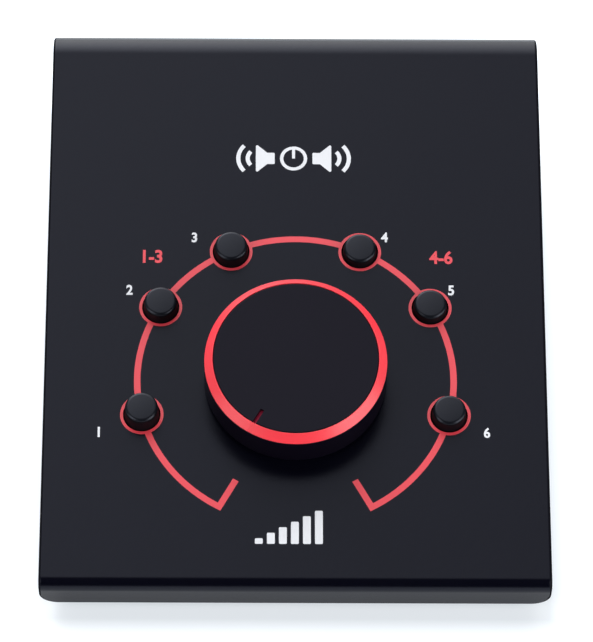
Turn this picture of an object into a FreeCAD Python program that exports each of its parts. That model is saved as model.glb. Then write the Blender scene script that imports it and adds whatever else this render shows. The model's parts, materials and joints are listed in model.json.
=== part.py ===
"""Studio monitor controller: a wedge-shaped desktop box with one volume knob and six push buttons.

Frame: +X to the user's right, -Y towards the user, +Z up, millimetres. The origin is on the ground,
under the middle of the object's box. Two local frames are used:
  the casing frame, level, with Y = 0 under the knob's centre and Z = 0 on the ground;
  the panel frame, tilted with the panel, with its origin where the knob's axis leaves the panel.
"""
import FreeCAD, Part
import math
import os
import re

import Sketcher
from FreeCAD import Placement, Rotation, Vector

doc = FreeCAD.newDocument("MonitorController")

# ---------------------------------------------------------------- driving dimensions

SIZES = (
    # casing
    ("cover_width", 130.0, "cover, side to side"),
    ("slope", 12.0, "tilt of the panel, degrees"),
    ("front_run", 58.2, "knob's centre to the front face, along the panel"),
    ("rear_flat", 96.8, "knob's centre to the start of the rear bend, along the panel"),
    ("cover_sheet", 2.0, "thickness of the cover's sheet"),
    ("front_bend", 2.9, "outer radius of the front bend"),
    ("rear_bend", 8.5, "outer radius of the rear bend"),
    ("rear_lip", 3.0, "straight edge below the rear bend"),
    ("lip_corner", 2.0, "corner radius of the rear lip"),
    ("flange_depth", 10.7, "front flange, down from the panel's surface"),
    ("flange_corner", 5.0, "corner radius of the front flange"),
    ("edge_round", 0.8, "rounding of the cover's cut edges"),
    ("tray_sheet", 1.5, "thickness of the base tray's sheet"),
    ("tray_bend", 2.0, "outer radius of the tray's bends"),
    ("tray_drop", 0.6, "base tray's underside below the front flange"),
    ("cheek_inset", 2.0, "side cheeks, in from the cover's edges"),
    ("seat_gap", 0.2, "clearance between casing parts that slide together"),
    ("rail_inset", 12.6, "cover rails' ends, in from the panel's bends"),
    ("rail_leg", 9.0, "cover rails, down from the panel"),
    ("rail_foot", 8.0, "cover rails, width under the panel"),
    ("rail_sheet", 2.0, "thickness of the cover rails"),
    ("foot_radius", 6.0, "rubber feet at their top"),
    ("foot_height", 3.5, "rubber feet"),
    ("foot_bevel", 0.9, "bevel of the rubber feet"),
    ("foot_side", 15.0, "rubber feet, in from the cover's sides"),
    ("foot_front", 16.0, "front feet, in from the front face"),
    ("foot_rear", 24.0, "rear feet, in from the rear face"),
    # screws
    ("screw_radius", 1.45, "shank of the small screws"),
    ("screw_flange", 1.3, "head of the small screws, beyond the shank"),
    ("screw_head_rise", 1.6, "head height of the small screws"),
    ("screw_bite", 5.0, "board screws, into their pillars"),
    ("screw_play", 0.15, "clearance holes for the small screws, beyond the shank"),
    ("screw_tip", 1.0, "side screws' ends beyond the rails"),
    ("drive_width", 1.0, "half width of the screws' hexagon sockets"),
    ("drive_depth", 1.0, "depth of the screws' hexagon sockets"),
    ("side_screw_drop", 6.8, "side screws, below the panel's surface"),
    ("side_screw_inset", 8.0, "side screws, in from the rails' ends"),
    ("base_screw_inset", 9.8, "outer base screws, in from the cheeks"),
    # rear panel and sockets
    ("panel_recess", 6.0, "rear panel, in from the cover's rear face"),
    ("rear_sheet", 1.5, "thickness of the rear panel"),
    ("rear_foot", 8.0, "rear panel's foot flange"),
    ("roof_gap", 0.5, "rear panel's top edge below the cover"),
    ("jack_gap", 0.4, "between two jacks, at their widest"),
    ("jack_width", 14.6, "jack housing, across"),
    ("jack_height", 16.0, "jack housing, upwards"),
    ("jack_depth", 30.0, "jack housing, behind the rear panel"),
    ("jack_bore", 3.25, "radius of the plug's hole"),
    ("mould_edge", 0.8, "rounding of the moulded housings' edges"),
    ("jack_floor", 2.0, "closed end of the plug's hole"),
    ("nose_radius", 5.5, "jack's threaded nose"),
    ("nose_proud", 1.3, "jack's nose beyond its nut"),
    ("jack_shift", -8.2, "middle of the row of jacks, from the casing's middle"),
    ("nut_wall", 1.3, "jack nuts, from the nose to a flat"),
    ("nut_rise", 2.5, "jack nuts"),
    ("washer_wall", 2.0, "jack washers, beyond the nose"),
    ("washer_rise", 0.6, "washers of the jacks and the potentiometer"),
    ("ring_gap", 0.05, "clearance of nuts and washers round a thread"),
    ("phono_side", 11.1, "phono sockets, in from the cheek"),
    ("phono_wall", 1.05, "phono housing, beyond a shell on either side"),
    ("phono_pitch", 12.6, "lower to upper phono socket"),
    ("phono_depth", 11.0, "phono housing, behind the rear panel"),
    ("phono_base", 1.45, "phono housing, below the lower and above the upper shell"),
    ("phono_radius", 4.15, "outside of a phono socket's shell"),
    ("phono_shell", 0.55, "thickness of a phono socket's shell"),
    ("phono_step", 0.2, "phono shells' root, narrower than outside"),
    ("phono_length", 8.6, "phono shells outside the rear panel"),
    ("phono_seat", 3.0, "phono shells inside their housing"),
    ("phono_sink", 1.2, "phono inserts, in from the shell's rim"),
    ("phono_pin_hole", 1.7, "hole for the phono plug's pin"),
    ("hole_gap", 0.2, "clearance of the sockets in the rear panel's holes"),
    # boards
    ("board_thick", 1.6, "both circuit boards"),
    ("board_gap", 10.5, "control board, below the panel's underside"),
    ("board_side", 9.5, "control board, in from the cheeks"),
    ("board_front", 18.0, "control board's front edge, down the panel from the knob"),
    ("board_rear", 50.0, "control board's rear edge, up the panel from the knob"),
    ("pillar_wall", 1.05, "board pillars, beyond their screws"),
    ("pillar_inset", 4.5, "pillars, in from a board's edges"),
    ("jack_board_rise", 2.5, "jack board above the tray's floor"),
    ("jack_board_apron", 9.0, "jack board in front of the jacks"),
    ("jack_board_margin", 3.0, "jack board, in from the cheeks"),
    ("ribbon_width", 12.7, "ribbon cable"),
    ("ribbon_thick", 0.9, "ribbon cable"),
    ("ribbon_shift", 22.0, "ribbon cable, from the casing's middle"),
    ("header_width", 15.0, "ribbon headers, across"),
    ("header_length", 5.0, "ribbon headers, front to back"),
    ("header_rise", 5.4, "ribbon headers, off their board"),
    ("header_inset", 3.0, "upper header, in from the control board's rear edge"),
    ("header_apron", 1.0, "lower header, in from the jack board's front edge"),
    ("ribbon_straight", 2.0, "ribbon cable, before it bends at either header"),
    # knob and potentiometer
    ("knob_radius", 23.55, "knob's side"),
    ("knob_foot", 1.4, "knob's lower edge above the panel"),
    ("knob_shoulder", 11.0, "start of the knob's chamfer above the panel"),
    ("knob_chamfer", 2.1, "knob's chamfer, both ways"),
    ("knob_land", 0.12, "rim between the chamfer and the cap's recess"),
    ("knob_wall", 2.0, "knob's skirt"),
    ("knob_foot_bevel", 0.4, "bevel of the knob's lower edge"),
    ("knob_web", 2.8, "knob core's disc inside the skirt"),
    ("cap_gap", 0.2, "groove round the knob's cap"),
    ("cap_thick", 0.9, "knob's cap"),
    ("cap_edge", 0.15, "bevel of the knob's cap"),
    ("slot_width", 1.0, "pointer slot"),
    ("slot_reach", 17.0, "pointer slot's inner end, from the knob's axis"),
    ("slot_bite", 0.25, "pointer slot's depth in the chamfer"),
    ("pointer_rest", -150.0, "pointer's angle at rest, clockwise from the rear, degrees"),
    ("hub_wall", 2.6, "knob core's hub, round the shaft"),
    ("hub_gap", 0.6, "knob core's hub above the bush"),
    ("hub_roof", 1.6, "knob core over the shaft's end"),
    ("shaft_radius", 3.0, "potentiometer shaft"),
    ("shaft_flat", 1.5, "shaft's axis to the flat of its D"),
    ("shaft_fit", 0.05, "clearance of the shaft in the bush, body and hub"),
    ("shaft_floor", 1.0, "shaft's inner end above the control board"),
    ("bush_wall", 1.45, "potentiometer's threaded bush, round the shaft"),
    ("bush_proud", 0.8, "bush's end beyond its nut"),
    ("bush_hole_gap", 0.15, "clearance of the bush in the panel"),
    ("pot_width", 17.0, "potentiometer body, across"),
    ("pot_length", 20.0, "potentiometer body, along the panel"),
    ("pot_nut_wall", 1.55, "potentiometer nut, from the bush to a flat"),
    ("pot_nut_rise", 2.0, "potentiometer nut"),
    ("pot_washer_wall", 2.75, "potentiometer washer, beyond the bush"),
    # push buttons
    ("button_circle", 40.8, "buttons' centres, from the knob's axis"),
    ("button_high", 24.4, "upper buttons, degrees either side of the rear"),
    ("button_middle", 59.3, "middle buttons, degrees either side of the rear"),
    ("button_low", 104.3, "lower buttons, degrees either side of the rear"),
    ("button_top", 3.65, "released button's top above the panel"),
    ("button_step", 1.05, "lower buttons' tops, above the tops of the others"),
    ("button_radius", 4.45, "button at the panel"),
    ("button_taper", 0.25, "button's top, smaller than its base by"),
    ("button_edge", 0.9, "button's top edge, broken by two bevels, both ways"),
    ("button_travel", 2.5, "released button's full travel"),
    ("button_floor", 0.8, "pressed button above its switch"),
    ("button_hole_gap", 0.27, "clearance of the buttons in the panel"),
    ("button_latch", 1.0, "latched button, lower than a released one by"),
    ("button_skin", 1.7, "button's top over the plunger"),
    ("plunger_width", 3.0, "switch plunger"),
    ("plunger_gap", 0.05, "clearance of the plunger in the button"),
    ("switch_gap", 0.15, "clearance of the plunger in the switch"),
    ("switch_width", 8.4, "switch body"),
    ("switch_rise", 6.2, "switch body"),
    ("plunger_floor", 0.6, "pressed plunger above the control board"),
    # shared
    ("end_gap", 0.3, "clearance past the end of a pin or screw in a blind hole"),
    ("overcut", 1.0, "how far a cut runs past the face it opens"),
)

sheet = doc.addObject("Spreadsheet::Sheet", "Sizes")
derived = doc.addObject("App::VarSet", "Derived")
owner = {}

for row, (alias, number, note) in enumerate(SIZES, start=1):
    sheet.set(f"A{row}", note)
    sheet.set(f"B{row}", str(number))
    sheet.setAlias(f"B{row}", alias)
    owner[alias] = "Sizes."
doc.recompute()


def named(formula):
    """The formula with each size written as the expression engine finds it."""
    return re.sub(r"[a-z]\w*", lambda word: owner.get(word.group(), "") + word.group(), formula)


def derive(name, formula, note):
    """Adds a place or size that follows from the driving dimensions."""
    derived.addProperty("App::PropertyFloat", name, "Places", note)
    derived.setExpression(name, named(formula))
    owner[name] = "Derived."


def value(name):
    """The number held by a driving or a derived dimension."""
    return float(sheet.get(name) if owner[name] == "Sizes." else getattr(derived, name))


# Casing frame: heights over the ground, reaches to the front or the rear of the knob's centre.
derive("knob_rise", "foot_height + tray_drop + flange_depth * cos(slope) + front_run * sin(slope)",
       "panel's surface at the knob's centre")
derive("front_reach", "(front_run - front_bend) * cos(slope) - front_bend * sin(slope) + front_bend",
       "cover's foremost line")
derive("bend_reach", "rear_flat * cos(slope) + rear_bend * sin(slope)", "axis of the rear bend")
derive("bend_rise", "knob_rise + rear_flat * sin(slope) - rear_bend * cos(slope)", "axis of the rear bend")
derive("rear_reach", "bend_reach + rear_bend", "cover's rear face")
derive("socket_face", "rear_reach - panel_recess", "rear panel's outer face")
derive("socket_inside", "socket_face - rear_sheet", "rear panel's inner face")
derive("rear_most", "max(rear_reach; socket_face + phono_length)", "rearmost point of the object")
derive("knob_back", "(front_reach - rear_most) / 2", "knob's centre from the middle of the box")
derive("floor_top", "foot_height + tray_sheet", "tray's floor")
derive("jack_board_top", "floor_top + jack_board_rise + board_thick", "jack board's upper face")
derive("jack_axis", "jack_board_top + jack_height / 2", "jack sockets' axes")
derive("jack_pitch", "max(jack_width; 2 * (nose_radius + washer_wall)) + jack_gap",
       "between two jack sockets' axes")
derive("jack_board_front", "socket_inside - jack_depth - jack_board_apron", "jack board's front edge")
derive("phono_margin", "phono_radius + phono_base", "phono housing beyond a socket's centre")
derive("phono_root", "phono_radius - phono_step", "phono shells behind the rear panel's face")
derive("phono_axis", "jack_board_top + phono_margin", "lower phono socket's axis")
derive("front_inner", "front_run - cover_sheet - seat_gap", "tray's front face, along the panel")
derive("roof_inner", "cover_sheet + seat_gap", "cheeks' top edges below the panel's surface")
derive("cheek_rear", "rear_reach - cover_sheet - seat_gap", "cheeks' rear edges")
derive("tray_width", "cover_width - 2 * cheek_inset", "tray, outside the cheeks")
derive("inner_width", "tray_width - 2 * tray_sheet", "tray, inside the cheeks")
derive("phono_shift", "inner_width / 2 - phono_side", "phono sockets, from the casing's middle")
derive("phono_half_width", "phono_radius + phono_wall", "phono housing")
derive("board_half_width", "inner_width / 2 - board_side", "control board")
derive("jack_board_half_width", "inner_width / 2 - jack_board_margin", "jack board")
derive("rear_panel_top",
       "bend_rise + sqrt((rear_bend - cover_sheet)^2 - (rear_bend - panel_recess)^2) - roof_gap",
       "rear panel's upper edge")
derive("board_top", "-(cover_sheet + board_gap)", "control board's upper face, off the panel")
derive("ribbon_drop", "board_thick + header_rise / 2 - board_top", "upper header's middle, below the panel")
derive("ribbon_start", "(board_rear - header_inset) * cos(slope) + ribbon_drop * sin(slope)",
       "upper header's rear face, half way down")
derive("ribbon_high", "knob_rise + (board_rear - header_inset) * sin(slope) - ribbon_drop * cos(slope)",
       "upper header's rear face, half way down")
derive("ribbon_end", "jack_board_front + header_apron", "lower header's front face")
# Panel frame.
derive("bend_tangent", "rear_bend * tan(45 + slope / 2)", "rear bend's tangent length")
derive("rear_corner", "rear_flat + bend_tangent", "where the panel's and the rear face's planes meet")
derive("roof_corner", "rear_corner - cover_sheet * tan(45 + slope / 2)", "the same, inside the cover")
derive("lip_end", "rear_corner - (bend_tangent + rear_lip) * sin(slope) - cover_sheet / 2 * cos(slope)",
       "middle of the rear lip's edge, along the panel")
derive("lip_foot", "cover_sheet / 2 * sin(slope) - (bend_tangent + rear_lip) * cos(slope)",
       "middle of the rear lip's edge, off the panel")
derive("rail_front", "rail_inset - front_run", "cover rails' front ends")
derive("rail_rear", "rear_flat - rail_inset", "cover rails' rear ends")
derive("bush_top", "washer_rise + pot_nut_rise + bush_proud", "bush's end")
derive("hub_foot", "bush_top + hub_gap", "knob core's hub")
derive("knob_top", "knob_shoulder + knob_chamfer", "knob's top")
derive("knob_rim", "knob_radius - knob_chamfer", "chamfer's inner edge, from the knob's axis")
derive("cap_floor", "knob_top - cap_thick", "floor of the cap's recess")
derive("shaft_top", "cap_floor - hub_roof", "shaft's outer end")
derive("shaft_tail", "board_top + shaft_floor", "shaft's inner end")
derive("button_root", "board_top + switch_rise + button_travel + button_floor", "released button's lower end")
derive("plunger_root", "board_top + button_travel + plunger_floor", "released plunger's lower end")
# Radii of what goes round a pin, a screw or a thread.
derive("screw_head", "screw_radius + screw_flange", "small screws' heads")
derive("screw_hole", "screw_radius + screw_play", "clearance holes for the small screws")
derive("screw_thread", "screw_radius + ring_gap", "tapped holes for the small screws")
derive("pillar_radius", "screw_radius + pillar_wall", "board pillars")
derive("nose_length", "washer_rise + nut_rise + nose_proud", "jack's nose outside the rear panel")
derive("bush_radius", "shaft_radius + bush_wall", "potentiometer's threaded bush")
derive("hub_radius", "shaft_radius + hub_wall", "knob core's hub")
doc.recompute()

# ---------------------------------------------------------------- modelling helpers

parts = []


def new_body(label):
    """A PartDesign body that is a sub-part of its own and is kept under the label."""
    body = doc.addObject("PartDesign::Body", label.title().replace("_", ""))
    body.Label = label
    parts.append(body)
    return body


def place(body, x, y, z, turn, axis):
    """Binds a body's place to formulas, in the object's frame."""
    body.Placement = Placement(Vector(), Rotation(axis, 1))
    for path, formula in (("Base.x", x), ("Base.y", y), ("Base.z", z), ("Rotation.Angle", turn)):
        body.setExpression(f"Placement.{path}", named(formula))
    return body


def in_casing(label, across="0", back="0", up="0"):
    """A new body at a place of the casing frame."""
    return place(new_body(label), across, f"knob_back + {back}", up, "0", Vector(0, 0, 1))


def on_panel(label, across="0", along="0", up="0"):
    """A new body at a place of the panel frame, tilted with the panel."""
    back = f"knob_back + ({along}) * cos(slope) - ({up}) * sin(slope)"
    rise = f"knob_rise + ({along}) * sin(slope) + ({up}) * cos(slope)"
    return place(new_body(label), across, back, rise, "slope", Vector(1, 0, 0))


def new_sketch(body, plane, turn="0"):
    """An empty sketch on an origin plane of the body, turned about the sketch's second axis."""
    sketch = body.newObject("Sketcher::SketchObject", "Sketch")
    support = [item for item in body.Origin.OriginFeatures if item.Role == plane]
    sketch.AttachmentSupport = [(support[0], "")]
    sketch.MapMode = "FlatFace"
    sketch.AttachmentOffset = Placement(Vector(), Rotation(Vector(0, 1, 0), 1))
    sketch.setExpression("AttachmentOffset.Rotation.Angle", named(turn))
    return sketch


def bind(sketch, kind, target, start, formula):
    """Adds one dimensional constraint and ties it to a formula."""
    index = sketch.addConstraint(Sketcher.Constraint(kind, *target, start))
    sketch.setExpression(f"Constraints[{index}]", named(formula))


def outline(body, plane, *loops, turn="0"):
    """A sketch of straight-sided loops, each corner held by its two formulas."""
    sketch = new_sketch(body, plane, turn)
    for loop in loops:
        first = sketch.GeometryCount
        count = len(loop)
        ring = [Vector(math.cos(math.tau * k / count), math.sin(math.tau * k / count), 0) * 10
                for k in range(count)]
        for k in range(count):
            sketch.addGeometry(Part.LineSegment(ring[k], ring[(k + 1) % count]), False)
        for k in range(count):
            after = first + (k + 1) % count
            sketch.addConstraint(Sketcher.Constraint("Coincident", first + k, 2, after, 1))
        for k, (across, up) in enumerate(loop):
            bind(sketch, "DistanceX", (first + k, 1), ring[k].x, across)
            bind(sketch, "DistanceY", (first + k, 1), ring[k].y, up)
    return sketch


def box_loop(low, high):
    """The four corners of a rectangle between two corners."""
    return [low, (high[0], low[1]), high, (low[0], high[1])]


def square_loop(half, centre=("0", "0")):
    """The four corners of a square round a centre."""
    return box_loop(tuple(f"{c} - ({half})" for c in centre), tuple(f"{c} + ({half})" for c in centre))


def hexagon_loop(half, centre=("0", "0")):
    """The six corners of a hexagon with two flats across the sketch's first axis."""
    across, up = centre
    return [(f"{across} + ({half})", f"{up} - ({half}) * tan(30)"),
            (f"{across} + ({half})", f"{up} + ({half}) * tan(30)"),
            (across, f"{up} + ({half}) * 2 * tan(30)"),
            (f"{across} - ({half})", f"{up} + ({half}) * tan(30)"),
            (f"{across} - ({half})", f"{up} - ({half}) * tan(30)"),
            (across, f"{up} - ({half}) * 2 * tan(30)")]


def circles(body, plane, radius, centres=(("0", "0"),)):
    """A sketch of equal circles."""
    sketch = new_sketch(body, plane)
    for k, (across, up) in enumerate(centres):
        sketch.addGeometry(Part.Circle(Vector(10 * k, 0, 0), Vector(0, 0, 1), 2), False)
        bind(sketch, "DistanceX", (k, 3), 10 * k, across)
        bind(sketch, "DistanceY", (k, 3), 0, up)
        bind(sketch, "Radius", (k,), 2, radius)
    return sketch


def dee(body, plane, radius, flat):
    """A sketch of a circle round the origin with a flat cut off its upper side."""
    sketch = new_sketch(body, plane)
    circle = Part.Circle(Vector(), Vector(0, 0, 1), 2)
    start, end = math.radians(150), math.radians(390)
    sketch.addGeometry(Part.ArcOfCircle(circle, start, end), False)
    sketch.addGeometry(Part.LineSegment(circle.value(end), circle.value(start)), False)
    sketch.addConstraint(Sketcher.Constraint("Coincident", 0, 3, -1, 1))
    sketch.addConstraint(Sketcher.Constraint("Coincident", 0, 2, 1, 1))
    sketch.addConstraint(Sketcher.Constraint("Coincident", 0, 1, 1, 2))
    sketch.addConstraint(Sketcher.Constraint("Horizontal", 1))
    bind(sketch, "Radius", (0,), 2, radius)
    bind(sketch, "DistanceY", (1, 1), 1, flat)
    return sketch


def extrude(kind, body, sketch, start, end):
    """A pad or pocket of a sketch between two levels along its plane's normal axis."""
    before = body.Tip.Shape.Volume if body.Tip else 0
    flipped = sketch.AttachmentSupport[0][0].Role == "XZ_Plane"
    middle = f"{'-' if flipped else ''}(({start}) + ({end})) / 2"
    sketch.setExpression("AttachmentOffset.Base.z", named(middle))
    feature = body.newObject(f"PartDesign::{kind}", kind)
    feature.Profile = sketch
    feature.SideType = "Symmetric"
    feature.setExpression("Length", named(f"({end}) - ({start})"))
    doc.recompute()
    changed = feature.Shape.Volume - before
    if changed * (1 if kind == "Pad" else -1) <= 0:
        raise ValueError(f"{body.Label}: a {kind} changed nothing")
    return feature


def pad(body, sketch, start, end):
    """Adds the sketch's area between two levels."""
    return extrude("Pad", body, sketch, start, end)


def pocket(body, sketch, start, end):
    """Removes the sketch's area between two levels."""
    return extrude("Pocket", body, sketch, start, end)


def turned(body, loop):
    """Adds the solid that a loop of (radius, height) corners sweeps about the body's Z axis."""
    feature = body.newObject("PartDesign::Revolution", "Revolution")
    sketch = outline(body, "XZ_Plane", loop)
    feature.Profile = sketch
    feature.ReferenceAxis = (sketch, ["V_Axis"])
    feature.Angle = 360
    doc.recompute()
    return feature


def dress_edges(kind, size_name, body, size, points):
    """Dresses the edges of the body that pass nearest to the points, with what runs on from them."""
    base = body.Tip
    edges = base.Shape.Edges
    chosen = {min(range(len(edges)), key=lambda k: edges[k].distToShape(Part.Vertex(*point))[0])
              for point in points}
    feature = body.newObject(f"PartDesign::{kind}", kind)
    feature.Base = (base, [f"Edge{k + 1}" for k in sorted(chosen)])
    feature.setExpression(size_name, named(size))
    doc.recompute()
    return feature


def round_edges(body, radius, *points):
    """Rounds the edges nearest to the points."""
    return dress_edges("Fillet", "Radius", body, radius, points)


def bevel_edges(body, size, *points):
    """Bevels the edges nearest to the points at 45 degrees."""
    return dress_edges("Chamfer", "Size", body, size, points)


def mirror_sides(body):
    """Repeats everything in the body on the other side of its middle plane."""
    feature = body.newObject("PartDesign::Mirrored", "Mirrored")
    feature.Originals = [item for item in body.Group if item.isDerivedFrom("PartDesign::FeatureAddSub")]
    plane = [item for item in body.Origin.OriginFeatures if item.Role == "YZ_Plane"]
    feature.MirrorPlane = (plane[0], [""])
    body.Tip = feature
    doc.recompute()
    return feature


def grid(xs, ys):
    """Every pair of one formula of each list."""
    return [(x, y) for x in xs for y in ys]


# ---------------------------------------------------------------- where the controls sit

BUTTONS = {
    "mute": ("-button_low", "0", "button_step"),
    "source": ("-button_middle", "0", "0"),
    "swap": ("-button_high", "0", "0"),
    "output_a": ("button_high", "button_latch", "0"),
    "output_b": ("button_middle", "button_latch", "0"),
    "mono": ("button_low", "button_latch", "button_step"),
}
BUTTON_PLACES = {
    name: (f"button_circle * sin({angle})", f"button_circle * cos({angle})")
    for name, (angle, sink, step) in BUTTONS.items()
}
BOARD_PILLARS = grid(("-(board_half_width - pillar_inset)", "board_half_width - pillar_inset"),
                     ("pillar_inset - board_front", "board_rear - pillar_inset"))
JACKS = ("input_left", "input_right", "output_a_left", "output_a_right", "output_b_left",
         "output_b_right")
JACK_PLACES = {name: f"jack_shift + jack_pitch * {(len(JACKS) - 1) / 2 - k}"
               for k, name in enumerate(JACKS)}
PHONO_HEIGHTS = ("phono_axis", "phono_axis + phono_pitch")
SIDE_SCREWS = [("rail_front + side_screw_inset", "-side_screw_drop"),
               ("rail_rear - side_screw_inset", "-side_screw_drop")]
BASE_SCREWS = grid(("base_screw_inset - inner_width / 2", "0", "inner_width / 2 - base_screw_inset"),
                   ("socket_inside - rear_foot / 2",))
JACK_BOARD_PILLARS = grid(("pillar_inset - jack_board_half_width", "0",
                           "jack_board_half_width - pillar_inset"), ("jack_board_front + pillar_inset",))


# ---------------------------------------------------------------- casing

def top_cover():
    """Bent sheet: front flange, sloping panel, rear bend and lip, drilled for the controls."""
    body = on_panel("top_cover")
    half = value("cover_width") / 2
    end = ("rear_corner - (bend_tangent + rear_lip) * sin(slope)",
           "-(bend_tangent + rear_lip) * cos(slope)")
    inner_end = (f"{end[0]} - cover_sheet * cos(slope)", f"{end[1]} + cover_sheet * sin(slope)")
    profile = outline(body, "YZ_Plane", [
        ("-front_run", "-flange_depth"), ("-front_run", "0"), ("rear_corner", "0"), end, inner_end,
        ("roof_corner", "-cover_sheet"), ("cover_sheet - front_run", "-cover_sheet"),
        ("cover_sheet - front_run", "-flange_depth")])
    pad(body, profile, "-cover_width / 2", "cover_width / 2")
    inside = value("cover_sheet")
    round_edges(body, "rear_bend", (0, value("rear_corner"), 0))
    round_edges(body, "rear_bend - cover_sheet", (0, value("roof_corner"), -inside))
    round_edges(body, "front_bend", (0, -value("front_run"), 0))
    round_edges(body, "front_bend - cover_sheet", (0, inside - value("front_run"), -inside))
    flange = (inside / 2 - value("front_run"), -value("flange_depth"))
    round_edges(body, "flange_corner", (-half, *flange), (half, *flange))
    lip_y, lip_z = value("lip_end"), value("lip_foot")
    round_edges(body, "lip_corner", (-half, lip_y, lip_z), (half, lip_y, lip_z))
    round_edges(body, "edge_round", (-half, 0, 0), (half, 0, 0))
    through = ("-cover_sheet - overcut", "overcut")
    pocket(body, circles(body, "XY_Plane", "button_radius + button_hole_gap",
                         list(BUTTON_PLACES.values())), *through)
    pocket(body, circles(body, "XY_Plane", "bush_radius + bush_hole_gap"), *through)


def cover_rails():
    """Two angles under the panel's edges, tapped for the side screws."""
    body = on_panel("cover_rails")
    outer = "inner_width / 2 - seat_gap"
    pad(body, outline(body, "XZ_Plane", [
        (outer, "-cover_sheet"), (outer, "-cover_sheet - rail_leg"),
        (f"{outer} - rail_sheet", "-cover_sheet - rail_leg"),
        (f"{outer} - rail_sheet", "-cover_sheet - rail_sheet"),
        (f"{outer} - rail_foot", "-cover_sheet - rail_sheet"),
        (f"{outer} - rail_foot", "-cover_sheet")]), "rail_front", "rail_rear")
    mirror_sides(body)
    pocket(body, circles(body, "YZ_Plane", "screw_thread", SIDE_SCREWS),
           "-cover_width / 2", "cover_width / 2")


def base_tray():
    """Folded sheet: floor, low front wall and two side cheeks that follow the cover's inside."""
    body = in_casing("base_tray")
    half = value("tray_width") / 2
    front = "(knob_rise - {0}) * tan(slope) - ({1}) / cos(slope)"
    roof = ("roof_inner * sin(slope) - front_inner * cos(slope)",
            "knob_rise - front_inner * sin(slope) - roof_inner * cos(slope)")
    pad(body, outline(body, "YZ_Plane", [
        (front.format("foot_height", "front_inner"), "foot_height"), roof,
        ("cheek_rear", "knob_rise + cheek_rear * tan(slope) - roof_inner / cos(slope)"),
        ("cheek_rear", "foot_height")]), "-tray_width / 2", "tray_width / 2")
    round_edges(body, "rear_bend - roof_inner", (0, value("cheek_rear"), value("knob_rise") * 2))
    round_edges(body, "front_bend - roof_inner",
                (0, -value("front_run"), value("foot_height") + value("flange_depth")))
    pocket(body, outline(body, "YZ_Plane", [
        (front.format("floor_top", "front_inner - tray_sheet"), "floor_top"),
        (front.format("knob_rise", "front_inner - tray_sheet"), "knob_rise"),
        ("rear_most", "knob_rise + rear_most * tan(slope)"),
        ("rear_most", "floor_top")]), "-inner_width / 2", "inner_width / 2")
    floor = value("foot_height")
    round_edges(body, "tray_bend", (-half, 0, floor), (half, 0, floor), (0, -value("front_run"), floor))
    inner = value("inner_width") / 2
    round_edges(body, "tray_bend - tray_sheet", (-inner, 0, value("floor_top")),
                (inner, 0, value("floor_top")), (0, -value("front_run"), value("floor_top")))
    pocket(body, circles(body, "XY_Plane", "screw_hole", BASE_SCREWS),
           "foot_height - overcut", "floor_top + overcut")
    turned_places = [(f"({along}) * cos(slope) - ({up}) * sin(slope)",
                      f"knob_rise + ({along}) * sin(slope) + ({up}) * cos(slope)")
                     for along, up in SIDE_SCREWS]
    pocket(body, circles(body, "YZ_Plane", "screw_hole", turned_places),
           "-cover_width / 2", "cover_width / 2")


def rear_panel():
    """Upright plate with the socket holes, on a foot flange that is screwed to the tray's floor."""
    body = in_casing("rear_panel")
    foot_end = "socket_inside - rear_foot"
    foot_top = "floor_top + rear_sheet"
    pad(body, outline(body, "YZ_Plane", [
        ("socket_face", "floor_top"), ("socket_face", "rear_panel_top"), ("socket_inside", "rear_panel_top"),
        ("socket_inside", foot_top), (foot_end, foot_top), (foot_end, "floor_top")]),
        "seat_gap - inner_width / 2", "inner_width / 2 - seat_gap")
    round_edges(body, "rear_sheet", (0, value("socket_face"), value("floor_top")))
    through = ("socket_inside - overcut", "socket_face + overcut")
    places = [(across, "jack_axis") for across in JACK_PLACES.values()]
    pocket(body, circles(body, "XZ_Plane", "nose_radius + hole_gap", places), *through)
    places = [("phono_shift", up) for up in PHONO_HEIGHTS]
    pocket(body, circles(body, "XZ_Plane", "phono_radius + hole_gap", places), *through)
    pocket(body, circles(body, "XY_Plane", "screw_thread", BASE_SCREWS),
           "floor_top - overcut", f"{foot_top} + overcut")
    notches = [box_loop((side, "floor_top - overcut"), (f"{side} + 2 * tray_bend", "floor_top + tray_bend"))
               for side in ("inner_width / 2 - tray_bend", "-inner_width / 2 - tray_bend")]
    pocket(body, outline(body, "XZ_Plane", *notches), f"{foot_end} - overcut", "socket_face + overcut")


def rubber_feet():
    """Four bevelled feet under the tray's corners."""
    body = in_casing("rubber_feet")
    places = grid(("foot_side - cover_width / 2", "cover_width / 2 - foot_side"),
                  ("foot_front - front_reach", "rear_reach - foot_rear"))
    pad(body, circles(body, "XY_Plane", "foot_radius", places), "0", "foot_height")
    side = value("cover_width") / 2 - value("foot_side")
    rows = (value("foot_front") - value("front_reach"), value("rear_reach") - value("foot_rear"))
    bevel_edges(body, "foot_bevel", *[(x, y + value("foot_radius"), 0)
                                      for x, y in grid((-side, side), rows)])


def socket_screws(body, plane, centres, head, shank, drive):
    """Round-headed screws side by side; each stretch is a pair of levels along the plane's axis."""
    pad(body, circles(body, plane, "screw_head", centres), *head)
    pad(body, circles(body, plane, "screw_radius", centres), *shank)
    loops = [hexagon_loop("drive_width", centre) for centre in centres]
    pocket(body, outline(body, plane, *loops), *drive)


def hexagon_screws(body, plane, centres, head, shank):
    """Hexagon-headed screws side by side, for the places inside the casing."""
    loops = [hexagon_loop("screw_head", centre) for centre in centres]
    pad(body, outline(body, plane, *loops), *head)
    pad(body, circles(body, plane, "screw_radius", centres), *shank)


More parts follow.
